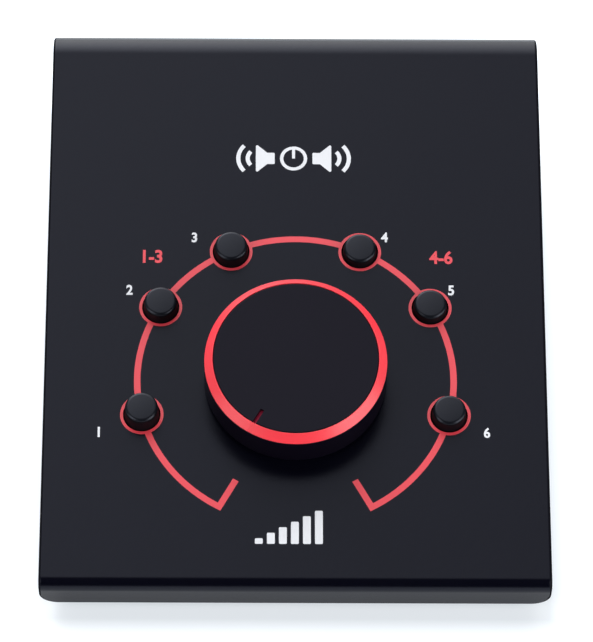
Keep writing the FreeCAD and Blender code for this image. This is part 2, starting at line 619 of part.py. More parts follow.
def side_screws():
    """Four screws through the cheeks into the cover rails."""
    body = on_panel("side_screws")
    face = "tray_width / 2"
    top = f"{face} + screw_head_rise"
    socket_screws(body, "YZ_Plane", SIDE_SCREWS, (face, top),
                  (f"{face} - tray_sheet - seat_gap - rail_sheet - screw_tip", face),
                  (f"{top} - drive_depth", f"{top} + overcut"))
    mirror_sides(body)


def base_screws():
    """Three screws through the tray's floor into the rear panel's foot flange."""
    body = in_casing("base_screws")
    head = "foot_height - screw_head_rise"
    socket_screws(body, "XY_Plane", BASE_SCREWS, (head, "foot_height"),
                  ("foot_height", "floor_top + rear_sheet + end_gap"),
                  (f"{head} - overcut", f"{head} + drive_depth"))


# ---------------------------------------------------------------- sockets

def jack_body(name):
    """Moulded housing of one quarter-inch socket, with its threaded nose and the plug's hole."""
    body = in_casing(f"jack_{name}", JACK_PLACES[name], "socket_face", "jack_axis")
    rear = "-(rear_sheet + jack_depth)"
    pad(body, outline(body, "XZ_Plane", box_loop(("-jack_width / 2", "-jack_height / 2"),
                                                 ("jack_width / 2", "jack_height / 2"))),
        rear, "-rear_sheet")
    pad(body, circles(body, "XZ_Plane", "nose_radius"), "-rear_sheet", "nose_length")
    pocket(body, circles(body, "XZ_Plane", "jack_bore"), f"{rear} + jack_floor", "nose_length + overcut")


def jack_washers():
    """One flat washer for each jack."""
    body = in_casing("jack_washers", back="socket_face", up="jack_axis")
    places = [(x, "0") for x in JACK_PLACES.values()]
    pad(body, circles(body, "XZ_Plane", "nose_radius + washer_wall", places), "0", "washer_rise")
    pocket(body, circles(body, "XZ_Plane", "nose_radius + ring_gap", places),
           "-overcut", "washer_rise + overcut")


def jack_nuts():
    """One hexagon nut for each jack, its flats towards its neighbours."""
    body = in_casing("jack_nuts", back="socket_face", up="jack_axis")
    places = [(x, "0") for x in JACK_PLACES.values()]
    top = "washer_rise + nut_rise"
    loops = [hexagon_loop("nose_radius + nut_wall", centre) for centre in places]
    pad(body, outline(body, "XZ_Plane", *loops), "washer_rise", top)
    pocket(body, circles(body, "XZ_Plane", "nose_radius + ring_gap", places), "0", f"{top} + overcut")


def phono_housing():
    """Moulded block behind the rear panel that holds both phono sockets."""
    body = in_casing("phono_housing", "phono_shift", "socket_inside")
    pad(body, outline(body, "XZ_Plane", box_loop(
        ("-phono_half_width", "jack_board_top"),
        ("phono_half_width", "phono_axis + phono_pitch + phono_margin"))), "-phono_depth", "0")
    side = value("phono_half_width")
    top = value("phono_axis") + value("phono_pitch") + value("phono_margin")
    round_edges(body, "mould_edge", *[(x, -value("phono_depth") / 2, top) for x in (-side, side)])
    places = [("0", up) for up in PHONO_HEIGHTS]
    pocket(body, circles(body, "XZ_Plane", "phono_root + ring_gap", places), "-phono_seat", "overcut")


def phono_shells():
    """The two metal shells that a phono plug's collar slides over."""
    body = in_casing("phono_shells", "phono_shift", "socket_face")
    places = [("0", up) for up in PHONO_HEIGHTS]
    inner_end = "-(rear_sheet + phono_seat)"
    pad(body, circles(body, "XZ_Plane", "phono_radius", places), "0", "phono_length")
    pad(body, circles(body, "XZ_Plane", "phono_root", places), inner_end, "0")
    rims = [(0, value("phono_length"), value("phono_axis") + value("phono_radius") + up)
            for up in (0, value("phono_pitch"))]
    bevel_edges(body, "phono_shell / 2", *rims)
    pocket(body, circles(body, "XZ_Plane", "phono_radius - phono_shell", places),
           f"{inner_end} + phono_shell", "phono_length + overcut")


def phono_insert(name, up):
    """Moulded insert of one phono socket, with the hole for the plug's pin."""
    body = in_casing(f"phono_insert_{name}", "phono_shift", "socket_face", up)
    pad(body, circles(body, "XZ_Plane", "phono_radius - phono_shell - ring_gap"),
        "-(rear_sheet + phono_seat) + phono_shell", "phono_length - phono_sink")
    pocket(body, circles(body, "XZ_Plane", "phono_pin_hole"), "-rear_sheet", "phono_length")


# ---------------------------------------------------------------- boards

def control_board():
    """Circuit board under the panel that carries the potentiometer and the switches."""
    body = on_panel("control_board", up="board_top")
    pad(body, outline(body, "XY_Plane", box_loop(("-board_half_width", "-board_front"),
                                                 ("board_half_width", "board_rear"))),
        "-board_thick", "0")
    pocket(body, circles(body, "XY_Plane", "screw_hole", BOARD_PILLARS),
           "-board_thick - overcut", "overcut")


def board_pillars():
    """Four hexagon pillars pressed into the panel's underside, tapped for the board's screws."""
    body = on_panel("board_pillars", up="board_top")
    loops = [hexagon_loop("pillar_radius", centre) for centre in BOARD_PILLARS]
    pad(body, outline(body, "XY_Plane", *loops), "0", "board_gap")
    pocket(body, circles(body, "XY_Plane", "screw_thread", BOARD_PILLARS),
           "-overcut", "screw_bite + end_gap")


def board_screws():
    """Four screws that hold the control board to its pillars from below."""
    body = on_panel("board_screws", up="board_top - board_thick")
    hexagon_screws(body, "XY_Plane", BOARD_PILLARS, ("-screw_head_rise", "0"),
                   ("0", "board_thick + screw_bite"))


def jack_board():
    """Circuit board on the tray's floor that carries the sockets."""
    body = in_casing("jack_board", up="jack_board_top")
    pad(body, outline(body, "XY_Plane", box_loop(
        ("-jack_board_half_width", "jack_board_front"),
        ("jack_board_half_width", "socket_inside - seat_gap"))), "-board_thick", "0")
    pocket(body, circles(body, "XY_Plane", "screw_hole", JACK_BOARD_PILLARS),
           "-board_thick - overcut", "overcut")


def jack_board_pillars():
    """Three short hexagon pillars pressed into the tray's floor, tapped for the jack board's screws."""
    body = in_casing("jack_board_pillars", up="floor_top")
    loops = [hexagon_loop("pillar_radius", centre) for centre in JACK_BOARD_PILLARS]
    pad(body, outline(body, "XY_Plane", *loops), "0", "jack_board_rise")
    pocket(body, circles(body, "XY_Plane", "screw_thread", JACK_BOARD_PILLARS),
           "end_gap", "jack_board_rise + overcut")


def jack_board_screws():
    """Three screws that hold the jack board's front edge to its pillars."""
    body = in_casing("jack_board_screws", up="jack_board_top")
    hexagon_screws(body, "XY_Plane", JACK_BOARD_PILLARS, ("0", "screw_head_rise"),
                   ("2 * end_gap - board_thick - jack_board_rise", "0"))


def ribbon_header_upper():
    """The ribbon cable's connector under the control board."""
    body = on_panel("ribbon_header_upper", "ribbon_shift", up="board_top - board_thick")
    pad(body, outline(body, "XY_Plane", box_loop(
        ("-header_width / 2", "board_rear - header_inset - header_length"),
        ("header_width / 2", "board_rear - header_inset"))), "-header_rise", "0")


def ribbon_header_lower():
    """The ribbon cable's connector on the jack board."""
    body = in_casing("ribbon_header_lower", "ribbon_shift", up="jack_board_top")
    pad(body, outline(body, "XY_Plane", box_loop(
        ("-header_width / 2", "ribbon_end"), ("header_width / 2", "ribbon_end + header_length"))),
        "0", "header_rise")


def ribbon_cable():
    """Flat cable that steps down from the upper header to the lower one."""
    body = in_casing("ribbon_cable", "ribbon_shift")
    lean = ("ribbon_thick * sin(slope)", "ribbon_thick * cos(slope)")
    low = "jack_board_top + header_rise / 2"
    under = [("ribbon_start", "ribbon_high"),
             ("ribbon_start + ribbon_straight", "ribbon_high + ribbon_straight * tan(slope)"),
             ("ribbon_end - ribbon_straight", low), ("ribbon_end", low)]
    over = [("ribbon_end", f"{low} + ribbon_thick"),
            ("ribbon_end - ribbon_straight + ribbon_thick / 2", f"{low} + ribbon_thick"),
            ("ribbon_start + ribbon_straight + ribbon_thick / 2",
             "ribbon_high + ribbon_straight * tan(slope) + ribbon_thick"),
            (f"ribbon_start - {lean[0]}", f"ribbon_high + {lean[1]}")]
    pad(body, outline(body, "YZ_Plane", under + over), "-ribbon_width / 2", "ribbon_width / 2")


# ---------------------------------------------------------------- potentiometer and knob

def pot_body():
    """Potentiometer body between the control board and the panel, bored for the shaft."""
    body = on_panel("pot_body", up="board_top")
    pad(body, outline(body, "XY_Plane", box_loop(("-pot_width / 2", "-pot_length / 2"),
                                                 ("pot_width / 2", "pot_length / 2"))),
        "0", "board_gap")
    pocket(body, circles(body, "XY_Plane", "shaft_radius + shaft_fit"),
           "shaft_floor - end_gap", "board_gap + overcut")


def pot_bush():
    """Threaded bush that guides the shaft through the panel."""
    body = on_panel("pot_bush")
    pad(body, circles(body, "XY_Plane", "bush_radius"), "-cover_sheet", "bush_top")
    pocket(body, circles(body, "XY_Plane", "shaft_radius + shaft_fit"),
           "-cover_sheet - overcut", "bush_top + overcut")


def pot_washer():
    """Flat washer under the potentiometer's nut."""
    body = on_panel("pot_washer")
    pad(body, circles(body, "XY_Plane", "bush_radius + pot_washer_wall"), "0", "washer_rise")
    pocket(body, circles(body, "XY_Plane", "bush_radius + ring_gap"), "-overcut", "washer_rise + overcut")


def pot_nut():
    """Hexagon nut that clamps the potentiometer to the panel."""
    body = on_panel("pot_nut")
    top = "washer_rise + pot_nut_rise"
    pad(body, outline(body, "XY_Plane", hexagon_loop("bush_radius + pot_nut_wall")), "washer_rise", top)
    pocket(body, circles(body, "XY_Plane", "bush_radius + ring_gap"), "0", f"{top} + overcut")


def pot_shaft():
    """Shaft from the potentiometer into the knob, with a flat along its upper part."""
    body = on_panel("pot_shaft")
    pad(body, circles(body, "XY_Plane", "shaft_radius"), "shaft_tail", "bush_top + end_gap")
    pad(body, dee(body, "XY_Plane", "shaft_radius", "shaft_flat"), "bush_top", "shaft_top")


def knob_skirt():
    """Black outer wall of the knob."""
    body = on_panel("knob_skirt")
    turned(body, box_loop(("knob_radius - knob_wall", "knob_foot"), ("knob_radius", "knob_shoulder")))
    bevel_edges(body, "knob_foot_bevel", (0, value("knob_radius"), value("knob_foot")))


def knob_core():
    """Coloured core of the knob: hub, disc and chamfered shoulder with a recess for the cap."""
    body = on_panel("knob_core")
    disc = "knob_shoulder - knob_web"
    inner = "knob_radius - knob_wall - ring_gap"
    recess = "knob_rim - knob_land"
    turned(body, [("0", "hub_foot"), ("hub_radius", "hub_foot"), ("hub_radius", disc), (inner, disc),
                  (inner, "knob_shoulder"), ("knob_radius", "knob_shoulder"), ("knob_rim", "knob_top"),
                  (recess, "knob_top"), (recess, "cap_floor"), ("0", "cap_floor")])
    pocket(body, dee(body, "XY_Plane", "shaft_radius + shaft_fit", "shaft_flat + shaft_fit"),
           "hub_foot - overcut", "shaft_top + end_gap")
    depth = "slot_bite * sqrt(2)"
    groove = outline(body, "XZ_Plane", [
        ("knob_radius + overcut", f"knob_shoulder - overcut - {depth}"),
        ("knob_radius + 3 * overcut", f"knob_shoulder + overcut - {depth}"),
        ("knob_rim + overcut", f"knob_top + 3 * overcut - {depth}"),
        ("knob_rim - overcut", f"knob_top + overcut - {depth}")], turn="90 - pointer_rest")
    pocket(body, groove, "-slot_width / 2", "slot_width / 2")


def knob_cap():
    """Black disc in the core's recess, cut through by the pointer slot."""
    body = on_panel("knob_cap")
    turned(body, box_loop(("0", "cap_floor"), ("knob_rim - knob_land - cap_gap", "knob_top")))
    bevel_edges(body, "cap_edge", (0, value("knob_rim"), value("knob_top")))
    slot = outline(body, "XZ_Plane", box_loop(("slot_reach", "cap_floor - overcut"),
                                              ("knob_radius", "knob_top + overcut")),
                   turn="90 - pointer_rest")
    pocket(body, slot, "-slot_width / 2", "slot_width / 2")


# ---------------------------------------------------------------- push buttons

def button_cap(name, sink, step):
    """Round push-button cap with a square socket for the plunger and a bevelled top edge."""
    across, along = BUTTON_PLACES[name]
    body = on_panel(f"{name}_button", across, along, f"-{sink}")
    top = f"button_top + {step}"
    side = "button_radius - button_taper"
    between = "button_edge * (1 - cos(45))"
    turned(body, [("0", "button_root"), ("button_radius", "button_root"), ("button_radius", "0"),
                  (side, f"{top} - button_edge"), (f"{side} - {between}", f"{top} - {between}"),
                  (f"{side} - button_edge", top), ("0", top)])
    pocket(body, outline(body, "XY_Plane", square_loop("plunger_width / 2 + plunger_gap")),
           "button_root - overcut", "button_top - button_skin")


def plunger(name, sink):
    """Square switch plunger that carries the cap."""
    across, along = BUTTON_PLACES[name]
    body = on_panel(f"{name}_plunger", across, along, f"-{sink}")
    pad(body, outline(body, "XY_Plane", square_loop("plunger_width / 2")),
        "plunger_root", "button_top - button_skin")


def switch_body(name):
    """Latching switch on the control board, open for its plunger."""
    across, along = BUTTON_PLACES[name]
    body = on_panel(f"{name}_switch", across, along, "board_top")
    pad(body, outline(body, "XY_Plane", square_loop("switch_width / 2")), "0", "switch_rise")
    pocket(body, outline(body, "XY_Plane", square_loop("plunger_width / 2 + switch_gap")),
           "-overcut", "switch_rise + overcut")


# ---------------------------------------------------------------- build, check and write

for build in (top_cover, cover_rails, base_tray, rear_panel, rubber_feet, side_screws, base_screws,
              jack_washers, jack_nuts, phono_housing, phono_shells, control_board, board_pillars,
              board_screws, jack_board, jack_board_pillars, jack_board_screws, ribbon_header_upper,
              ribbon_header_lower, ribbon_cable, pot_body, pot_bush, pot_washer, pot_nut, pot_shaft,
              knob_skirt, knob_core, knob_cap):
    build()
for jack in JACKS:
    jack_body(jack)
for colour, height in zip(("red", "white"), PHONO_HEIGHTS):
    phono_insert(colour, height)
for button, (_, down, taller) in BUTTONS.items():
    button_cap(button, down, taller)
    plunger(button, down)
    switch_body(button)
doc.recompute()

failed = [item.Name for item in doc.Objects if {"Invalid", "Error"} & set(item.State)]
broken = [part.Label for part in parts if part.Shape.isNull() or not part.Shape.isValid()]
if failed or broken:
    raise RuntimeError(f"failed objects {failed}, broken shapes {broken}")

os.makedirs("parts", exist_ok=True)
for part in parts:
    part.Shape.exportStep(f"parts/{part.Label}.step")
print(f"{len(parts)} sub-parts written")
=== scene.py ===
"""Looks of the studio monitor controller: finishes, printed panel, knob, buttons, sockets and studio.

Lengths are written in millimetres and turned into metres where a mesh, a light or the camera is made.
The panel frame used below lies in the sloping panel: x to the user's right, y up the slope, z out of the
panel, with its origin where the knob's axis leaves the panel.
"""
import json
import logging
import math
from collections.abc import Callable, Iterable, Sequence
from dataclasses import dataclass, field
from enum import Enum

import bmesh
import bpy
from mathutils import Matrix, Vector


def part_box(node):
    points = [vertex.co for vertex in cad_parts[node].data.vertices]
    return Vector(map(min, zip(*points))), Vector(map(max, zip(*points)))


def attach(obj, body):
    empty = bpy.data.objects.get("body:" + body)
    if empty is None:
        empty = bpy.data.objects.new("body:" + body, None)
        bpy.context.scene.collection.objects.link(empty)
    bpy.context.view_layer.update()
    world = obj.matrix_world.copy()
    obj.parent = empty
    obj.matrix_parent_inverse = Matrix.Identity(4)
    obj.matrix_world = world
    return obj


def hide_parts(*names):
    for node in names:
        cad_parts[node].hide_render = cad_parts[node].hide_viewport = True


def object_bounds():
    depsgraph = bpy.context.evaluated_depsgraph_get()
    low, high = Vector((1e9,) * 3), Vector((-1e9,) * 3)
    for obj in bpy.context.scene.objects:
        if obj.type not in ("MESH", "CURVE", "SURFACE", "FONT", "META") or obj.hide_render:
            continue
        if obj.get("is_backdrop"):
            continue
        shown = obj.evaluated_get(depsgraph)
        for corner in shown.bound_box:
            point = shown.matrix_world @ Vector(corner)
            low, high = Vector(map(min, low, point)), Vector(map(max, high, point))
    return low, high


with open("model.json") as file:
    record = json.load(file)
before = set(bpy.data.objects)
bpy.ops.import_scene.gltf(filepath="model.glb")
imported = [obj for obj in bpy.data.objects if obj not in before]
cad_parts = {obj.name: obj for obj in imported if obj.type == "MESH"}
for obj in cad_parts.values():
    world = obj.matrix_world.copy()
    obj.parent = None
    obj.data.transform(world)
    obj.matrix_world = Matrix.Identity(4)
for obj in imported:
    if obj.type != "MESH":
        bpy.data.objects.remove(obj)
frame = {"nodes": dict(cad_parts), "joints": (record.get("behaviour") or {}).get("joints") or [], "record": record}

LOG = logging.getLogger("monitor_controller")
MM = 0.001
SMOOTH_ANGLE = math.radians(32)
NOISE_TURN = (0.31, 0.47, 0.19)
NOISE_ROUGHNESS = 0.55
KNOB_STEPS = 256
SMALL_STEPS = 96
ARC_STEPS = 6
FINISHES_PER_PIECE = 2
OVERCUT = 1.0

Pair = tuple[float, float]
Point = tuple[float, float]
Corner = tuple[float, float, float]
Way = tuple[float, float, float]
Colour = tuple[float, float, float]
Mesh = bmesh.types.BMesh
Face = bmesh.types.BMFace
Loop = Sequence[bmesh.types.BMVert]
Node = bpy.types.Node
Socket = bpy.types.NodeSocket
Material = bpy.types.Material
Object = bpy.types.Object


# ---------------------------------------------------------------- outlines and meshes

def rounded_path(corners: Sequence[Corner], steps: int = ARC_STEPS) -> list[Point]:
    """Turns the corners of a loop into arcs.

    Args:
        corners: x, y and rounding radius of each corner, in order.
        steps: arc pieces at each rounded corner.

    Returns:
        The points of the loop.
    """
    path: list[Point] = []
    for k, (x, y, radius) in enumerate(corners):
        if radius <= 0:
            path.append((x, y))
            continue
        here = Vector((x, y))
        back = (Vector(corners[k - 1][:2]) - here).normalized()
        ahead = (Vector(corners[(k + 1) % len(corners)][:2]) - here).normalized()
        half = back.angle(ahead) / 2
        centre = here + (back + ahead).normalized() * (radius / math.sin(half))
        start = here + back * (radius / math.tan(half)) - centre
        sweep = math.pi - 2 * half
        turn = 1 if back.x * ahead.y - back.y * ahead.x < 0 else -1
        for step in range(steps + 1):
            angle = turn * sweep * step / steps
            cosine, sine = math.cos(angle), math.sin(angle)
            path.append((centre.x + start.x * cosine - start.y * sine,
                         centre.y + start.x * sine + start.y * cosine))
    return path


def arc(radius: float, start: float, end: float, steps: int) -> list[Point]:
    """Points on a circle round the origin; angles in degrees, clockwise from straight up."""
    angles = [math.radians(start + (end - start) * k / steps) for k in range(steps + 1)]
    return [(radius * math.sin(angle), radius * math.cos(angle)) for angle in angles]


def moved(path: Iterable[Point], across: float, along: float) -> list[Point]:
    """The path shifted."""
    return [(across + x, along + y) for x, y in path]


def strip(mesh: Mesh, here: Loop, after: Loop) -> list[Face]:
    """Makes the band of faces between two closed loops.

    Args:
        mesh: the mesh that holds both.
        here: vertices of the first loop, or one vertex many times over.
        after: as many vertices of the second loop.

    Returns:
        The faces, in the order of the vertices.
    """
    faces = []
    for k in range(len(here)):
        nxt = (k + 1) % len(here)
        corners = list(dict.fromkeys((here[k], here[nxt], after[nxt], after[k])))
        if len(corners) > 2:
            faces.append(mesh.faces.new(corners))
    return faces


def lathe(path: Sequence[Point], steps: int) -> Mesh:
    """Sweeps a closed path of (radius, height) points about the z axis.

    Args:
        path: the loop; points on the axis become single vertices.
        steps: faces round the axis.

    Returns:
        The closed mesh, in millimetres.
    """
    mesh = bmesh.new()
    loops: list[Loop] = []
    for radius, height in path:
        if radius == 0:
            loops.append([mesh.verts.new((0, 0, height))] * steps)
            continue
        turns = (math.tau * k / steps for k in range(steps))
        loops.append([mesh.verts.new((radius * math.cos(turn), radius * math.sin(turn), height))
                      for turn in turns])
    for here, after in zip(loops, loops[1:] + loops[:1]):
        strip(mesh, here, after)
    return mesh


def prism(path: Sequence[Point], low: float, high: float) -> Mesh:
    """Raises a closed path into a block.

    Args:
        path: the block's outline.
        low: height of its floor.
        high: height of its roof.

    Returns:
        The closed mesh.
    """
    mesh = bmesh.new()
    floor = [mesh.verts.new((x, y, low)) for x, y in path]
    roof = [mesh.verts.new((x, y, high)) for x, y in path]
    mesh.faces.new(floor)
    mesh.faces.new(roof)
    strip(mesh, floor, roof)
    return mesh


def joined(meshes: Iterable[Mesh]) -> Mesh:
    """Puts meshes together.

    Args:
        meshes: the meshes, which are freed.

    Returns:
        One mesh that holds them all.
    """
    whole = bmesh.new()
    for part in meshes:
        data = bpy.data.meshes.new("part")
        part.to_mesh(data)
        part.free()
        whole.from_mesh(data)
        bpy.data.meshes.remove(data)
    return whole


def shifted(mesh: Mesh, matrix: Matrix) -> Mesh:
    """The same mesh moved by a matrix in millimetres."""
    bmesh.ops.transform(mesh, matrix=matrix, verts=mesh.verts)
    return mesh


def marked(mesh: Mesh, is_trim: Callable[[Face], bool]) -> Mesh:
    """The same mesh, with the faces that take its piece's second finish marked.

    Args:
        mesh: the mesh.
        is_trim: tells whether a face takes the second finish.

    Returns:
        The mesh.
    """
    for face in mesh.faces:
        face.material_index = int(is_trim(face))
    return mesh


def baked(mesh: Mesh, name: str) -> Object:
    """Puts a mesh into the scene, with its normals outward.

    Args:
        mesh: the mesh, which is freed.
        name: the name of the object and its data.

    Returns:
        The new object.
    """
    bmesh.ops.recalc_face_normals(mesh, faces=mesh.faces)
    data = bpy.data.meshes.new(name)
    mesh.to_mesh(data)
    mesh.free()
    item = bpy.data.objects.new(name, data)
    bpy.context.scene.collection.objects.link(item)
    return item


def carved(mesh: Mesh, cutters: Sequence[Mesh]) -> Mesh:
    """The mesh with the cutters' space taken out of it, its marks for the second finish kept.

    Args:
        mesh: the closed mesh to cut.
        cutters: closed meshes that don't touch each other.

    Returns:
        A new mesh; the given ones are freed.
    """
    block = baked(mesh, "block")
    tool = baked(joined(cutters), "tool")
    for item in (block, tool):
        for _ in range(FINISHES_PER_PIECE):
            item.data.materials.append(None)
    cut = block.modifiers.new("cut", "BOOLEAN")
    cut.operation = "DIFFERENCE"
    cut.solver = "EXACT"
    cut.object = tool
    result = bmesh.new()
    result.from_object(block, bpy.context.evaluated_depsgraph_get())
    for item in (block, tool):
        data = item.data
        bpy.data.objects.remove(item)
        bpy.data.meshes.remove(data)
    return result


def add_piece(name: str, mesh: Mesh, finish: Material, body: str, place: Matrix,
              stands_for: Sequence[str] = (), trim: Material | None = None) -> Object:
    """Turns a mesh into a finished piece that rides on a body.

    Args:
        name: the piece's name.
        mesh: its mesh in millimetres, in the frame that place gives.
        finish: its material.
        body: the body that carries it.
        place: the frame of the mesh, in metres.
        stands_for: nodes that the piece replaces.
        trim: the material of the faces that are marked for a second finish.

    Returns:
        The new object.
    """
    shifted(mesh, Matrix.Scale(MM, 4))
    piece = baked(mesh, name)
    data = piece.data
    data.polygons.foreach_set("use_smooth", [True] * len(data.polygons))
    data.set_sharp_from_angle(angle=SMOOTH_ANGLE)
    data.materials.append(finish)
    if trim:
        data.materials.append(trim)
    even = piece.modifiers.new("flat_faces_stay_flat", "WEIGHTED_NORMAL")
    even.keep_sharp = True
    piece.matrix_world = place
    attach(piece, body)
    if stands_for:
        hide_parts(*stands_for)
    return piece


# ---------------------------------------------------------------- finishes

class NodeSheet:
    """A node graph that is written step by step."""

    def __init__(self, tree: bpy.types.NodeTree) -> None:
        """Starts on the graph of a material or of the surround."""
        self.tree = tree

    def add(self, kind: str, inputs: dict[str | int, object] | None = None, **settings: object) -> Node:
        """Adds a node.

        Args:
            kind: the node's type.
            inputs: numbers for its inputs, or the sockets that feed them.
            **settings: the node's own properties.

        Returns:
            The node.
        """
        node = self.tree.nodes.new(kind)
        for key, setting in settings.items():
            setattr(node, key, setting)
        for key, source in (inputs or {}).items():
            if isinstance(source, Socket):
                self.tree.links.new(source, node.inputs[key])
            else:
                node.inputs[key].default_value = source
        return node

    def between(self, source: Socket, low: float, high: float,
                start: float = 0.15, end: float = 0.85) -> Socket:
        """Spreads a value over a range.

        Args:
            source: the value.
            low: what it becomes at the start and below.
            high: what it becomes at the end and above.
            start: where the spread starts.
            end: where it ends.

        Returns:
            The spread value.
        """
        spread = self.add("ShaderNodeMapRange", {"Value": source, "From Min": start, "From Max": end,
                                                 "To Min": low, "To Max": high})
        return spread.outputs["Result"]

    def blend(self, factor: Socket, first: Colour, second: Colour) -> Socket:
        """A colour between two by a factor."""
        mix = self.add("ShaderNodeMix", {0: factor, 6: (*first, 1), 7: (*second, 1)}, data_type="RGBA")
        return mix.outputs[2]

    def maths(self, operation: str, first: Socket | float, second: Socket | float = 0.0) -> Socket:
        """The outcome of one sum."""
        return self.add("ShaderNodeMath", {0: first, 1: second}, operation=operation).outputs[0]

    def vectors(self, operation: str, first: Socket, second: Way = (0.0, 0.0, 0.0)) -> Node:
        """The node of one sum of vectors."""
        return self.add("ShaderNodeVectorMath", {0: first, 1: second}, operation=operation)


class ShaderSheet(NodeSheet):
    """Node graph of one finish, in the piece's own coordinates."""

    def __init__(self, name: str) -> None:
        """Starts the material with its shader and its coordinates.

        Args:
            name: the material's name.
        """
        self.material = bpy.data.materials.new(name)
        self.material.use_nodes = True
        super().__init__(self.material.node_tree)
        self.shader = self.tree.nodes["Principled BSDF"]
        self.place: Socket = self.add("ShaderNodeTexCoord").outputs["Object"]

    def grain(self, size: float, detail: float = 2.0, place: Socket | None = None) -> Socket:
        """Makes cloudy noise, turned so that no flat face lies along its cells.

        Args:
            size: about how wide its spots are, in millimetres.
            detail: how many finer layers it has.
            place: the coordinates, if not the piece's own.

        Returns:
            The noise.
        """
        turned = self.add("ShaderNodeMapping", {"Vector": place or self.place, "Rotation": NOISE_TURN})
        noise = self.add("ShaderNodeTexNoise", {"Vector": turned.outputs[0], "Scale": 1 / (size * MM),
                                                "Detail": detail, "Roughness": NOISE_ROUGHNESS})
        return noise.outputs["Fac"]

    def ridges(self, size: float, axis: str) -> Socket:
        """Smooth ridges across an axis; about three of them fit in the size, in millimetres."""
        return self.add("ShaderNodeTexWave", {"Vector": self.place, "Scale": 1 / (size * MM)},
                        bands_direction=axis).outputs["Fac"]

    def relief(self, height: Socket, depth: float) -> None:
        """Raises the surface by a height map, over what it already has.

        Args:
            height: the height map.
            depth: how deep it goes, in millimetres.
        """
        link = self.shader.inputs["Normal"]
        inputs: dict[str | int, object] = {"Height": height, "Distance": depth * MM, "Strength": 1.0}
        if link.is_linked:
            inputs["Normal"] = link.links[0].from_socket
        self.feed("Normal", self.add("ShaderNodeBump", inputs).outputs["Normal"])

    def feed(self, name: str, source: Socket) -> None:
        """Links a socket to one of the shader's inputs."""
        self.tree.links.new(source, self.shader.inputs[name])

    def fix(self, **values: float | tuple[float, ...]) -> None:
        """Sets constants on the shader's own sockets; underscores stand for spaces."""
        for name, number in values.items():
            self.shader.inputs[name.replace("_", " ")].default_value = number


@dataclass(frozen=True)
class Finish:
    """A surface finish: colour, gloss and how both drift over the surface.

    Attributes:
        name: the material's name.
        colour: the mean colour, linear.
        roughness: the mean roughness.
        drift: share by which the colour varies.
        haze: how far the roughness varies.
        patch: size of the patches of both, in millimetres.
        metal: 1 for bare or plated metal.
        index: index of refraction.
        gloss: strength of the gloss, half for its usual one.
        sheen: colour of the gloss.
    """

    name: str
    colour: Colour
    roughness: float
    drift: float = 0.12
    haze: float = 0.04
    patch: float = 9.0
    metal: float = 0.0
    index: float = 1.5
    gloss: float = 0.5
    sheen: Colour = (1.0, 1.0, 1.0)

    def make(self) -> Material:
        """Builds the finish.

        Returns:
            Its material.
        """
        sheet = ShaderSheet(self.name)
        sheet.fix(Metallic=self.metal, IOR=self.index, Specular_IOR_Level=self.gloss,
                  Specular_Tint=(*self.sheen, 1))
        cloud = sheet.grain(self.patch)
        darker = tuple(c * (1 - self.drift) for c in self.colour)
        lighter = tuple(min(c * (1 + self.drift), 1.0) for c in self.colour)
        sheet.feed("Base Color", sheet.blend(sheet.between(cloud, 0, 1), darker, lighter))
        sheet.feed("Roughness", sheet.between(cloud, self.roughness + self.haze,
                                              self.roughness - self.haze))
        self.texture(sheet)
        return sheet.material

    def texture(self, sheet: ShaderSheet) -> None:
        """Adds the fine texture, which each kind of finish has of its own."""
        raise NotImplementedError(self.name)


@dataclass(frozen=True)
class PowderCoat(Finish):
    """Baked powder paint with its orange peel and a fine grain."""

    peel: float = 1.3
    peel_depth: float = 0.014
    grit: float = 0.2
    grit_depth: float = 0.004

    def texture(self, sheet: ShaderSheet) -> None:
        """Adds the orange peel and the grain."""
        sheet.relief(sheet.grain(self.peel, detail=1.0), self.peel_depth)
        sheet.relief(sheet.grain(self.grit), self.grit_depth)


@dataclass(frozen=True)
class Anodised(Finish):
    """Turned and anodised aluminium, with fine tool lines round the piece's z axis."""

    line: float = 0.09
    line_depth: float = 0.0016
    grit: float = 0.12
    grit_depth: float = 0.002

    def texture(self, sheet: ShaderSheet) -> None:
        """Adds the tool lines and the etched grain of the anodising.

        Args:
            sheet: the finish's node graph.
        """
        x, y, z = sheet.add("ShaderNodeSeparateXYZ", {0: sheet.place}).outputs
        reach = sheet.maths("SQRT", sheet.maths("ADD", sheet.maths("MULTIPLY", x, x),
                                                sheet.maths("MULTIPLY", y, y)))
        rings = sheet.add("ShaderNodeCombineXYZ", {"X": reach, "Y": z}).outputs[0]
        sheet.relief(sheet.grain(self.line, detail=3.0, place=rings), self.line_depth)
        sheet.relief(sheet.grain(self.grit), self.grit_depth)


@dataclass(frozen=True)
class Moulding(Finish):
    """Moulded plastic with a spark-eroded grain and faintly sunken faces."""

    sink: float = 4.0
    sink_depth: float = 0.01
    grit: float = 0.16
    grit_depth: float = 0.004

    def texture(self, sheet: ShaderSheet) -> None:
        """Adds the sink and the grain."""
        sheet.relief(sheet.grain(self.sink, detail=1.0), self.sink_depth)
        sheet.relief(sheet.grain(self.grit), self.grit_depth)


@dataclass(frozen=True)
class ScreenInk(Finish):
    """Screen-printed ink, with the mesh of the screen and a slightly rough surface."""

    screen: float = 0.26
    screen_depth: float = 0.0012
    levelling: float = 0.5
    levelling_depth: float = 0.004

    def texture(self, sheet: ShaderSheet) -> None:
        """Adds the screen's mesh and the ink's levelling.

        Args:
            sheet: the finish's node graph.
        """
        threads = sheet.maths("MULTIPLY", *(sheet.ridges(self.screen, axis) for axis in "XY"))
        sheet.relief(threads, self.screen_depth)
        sheet.relief(sheet.grain(self.levelling), self.levelling_depth)


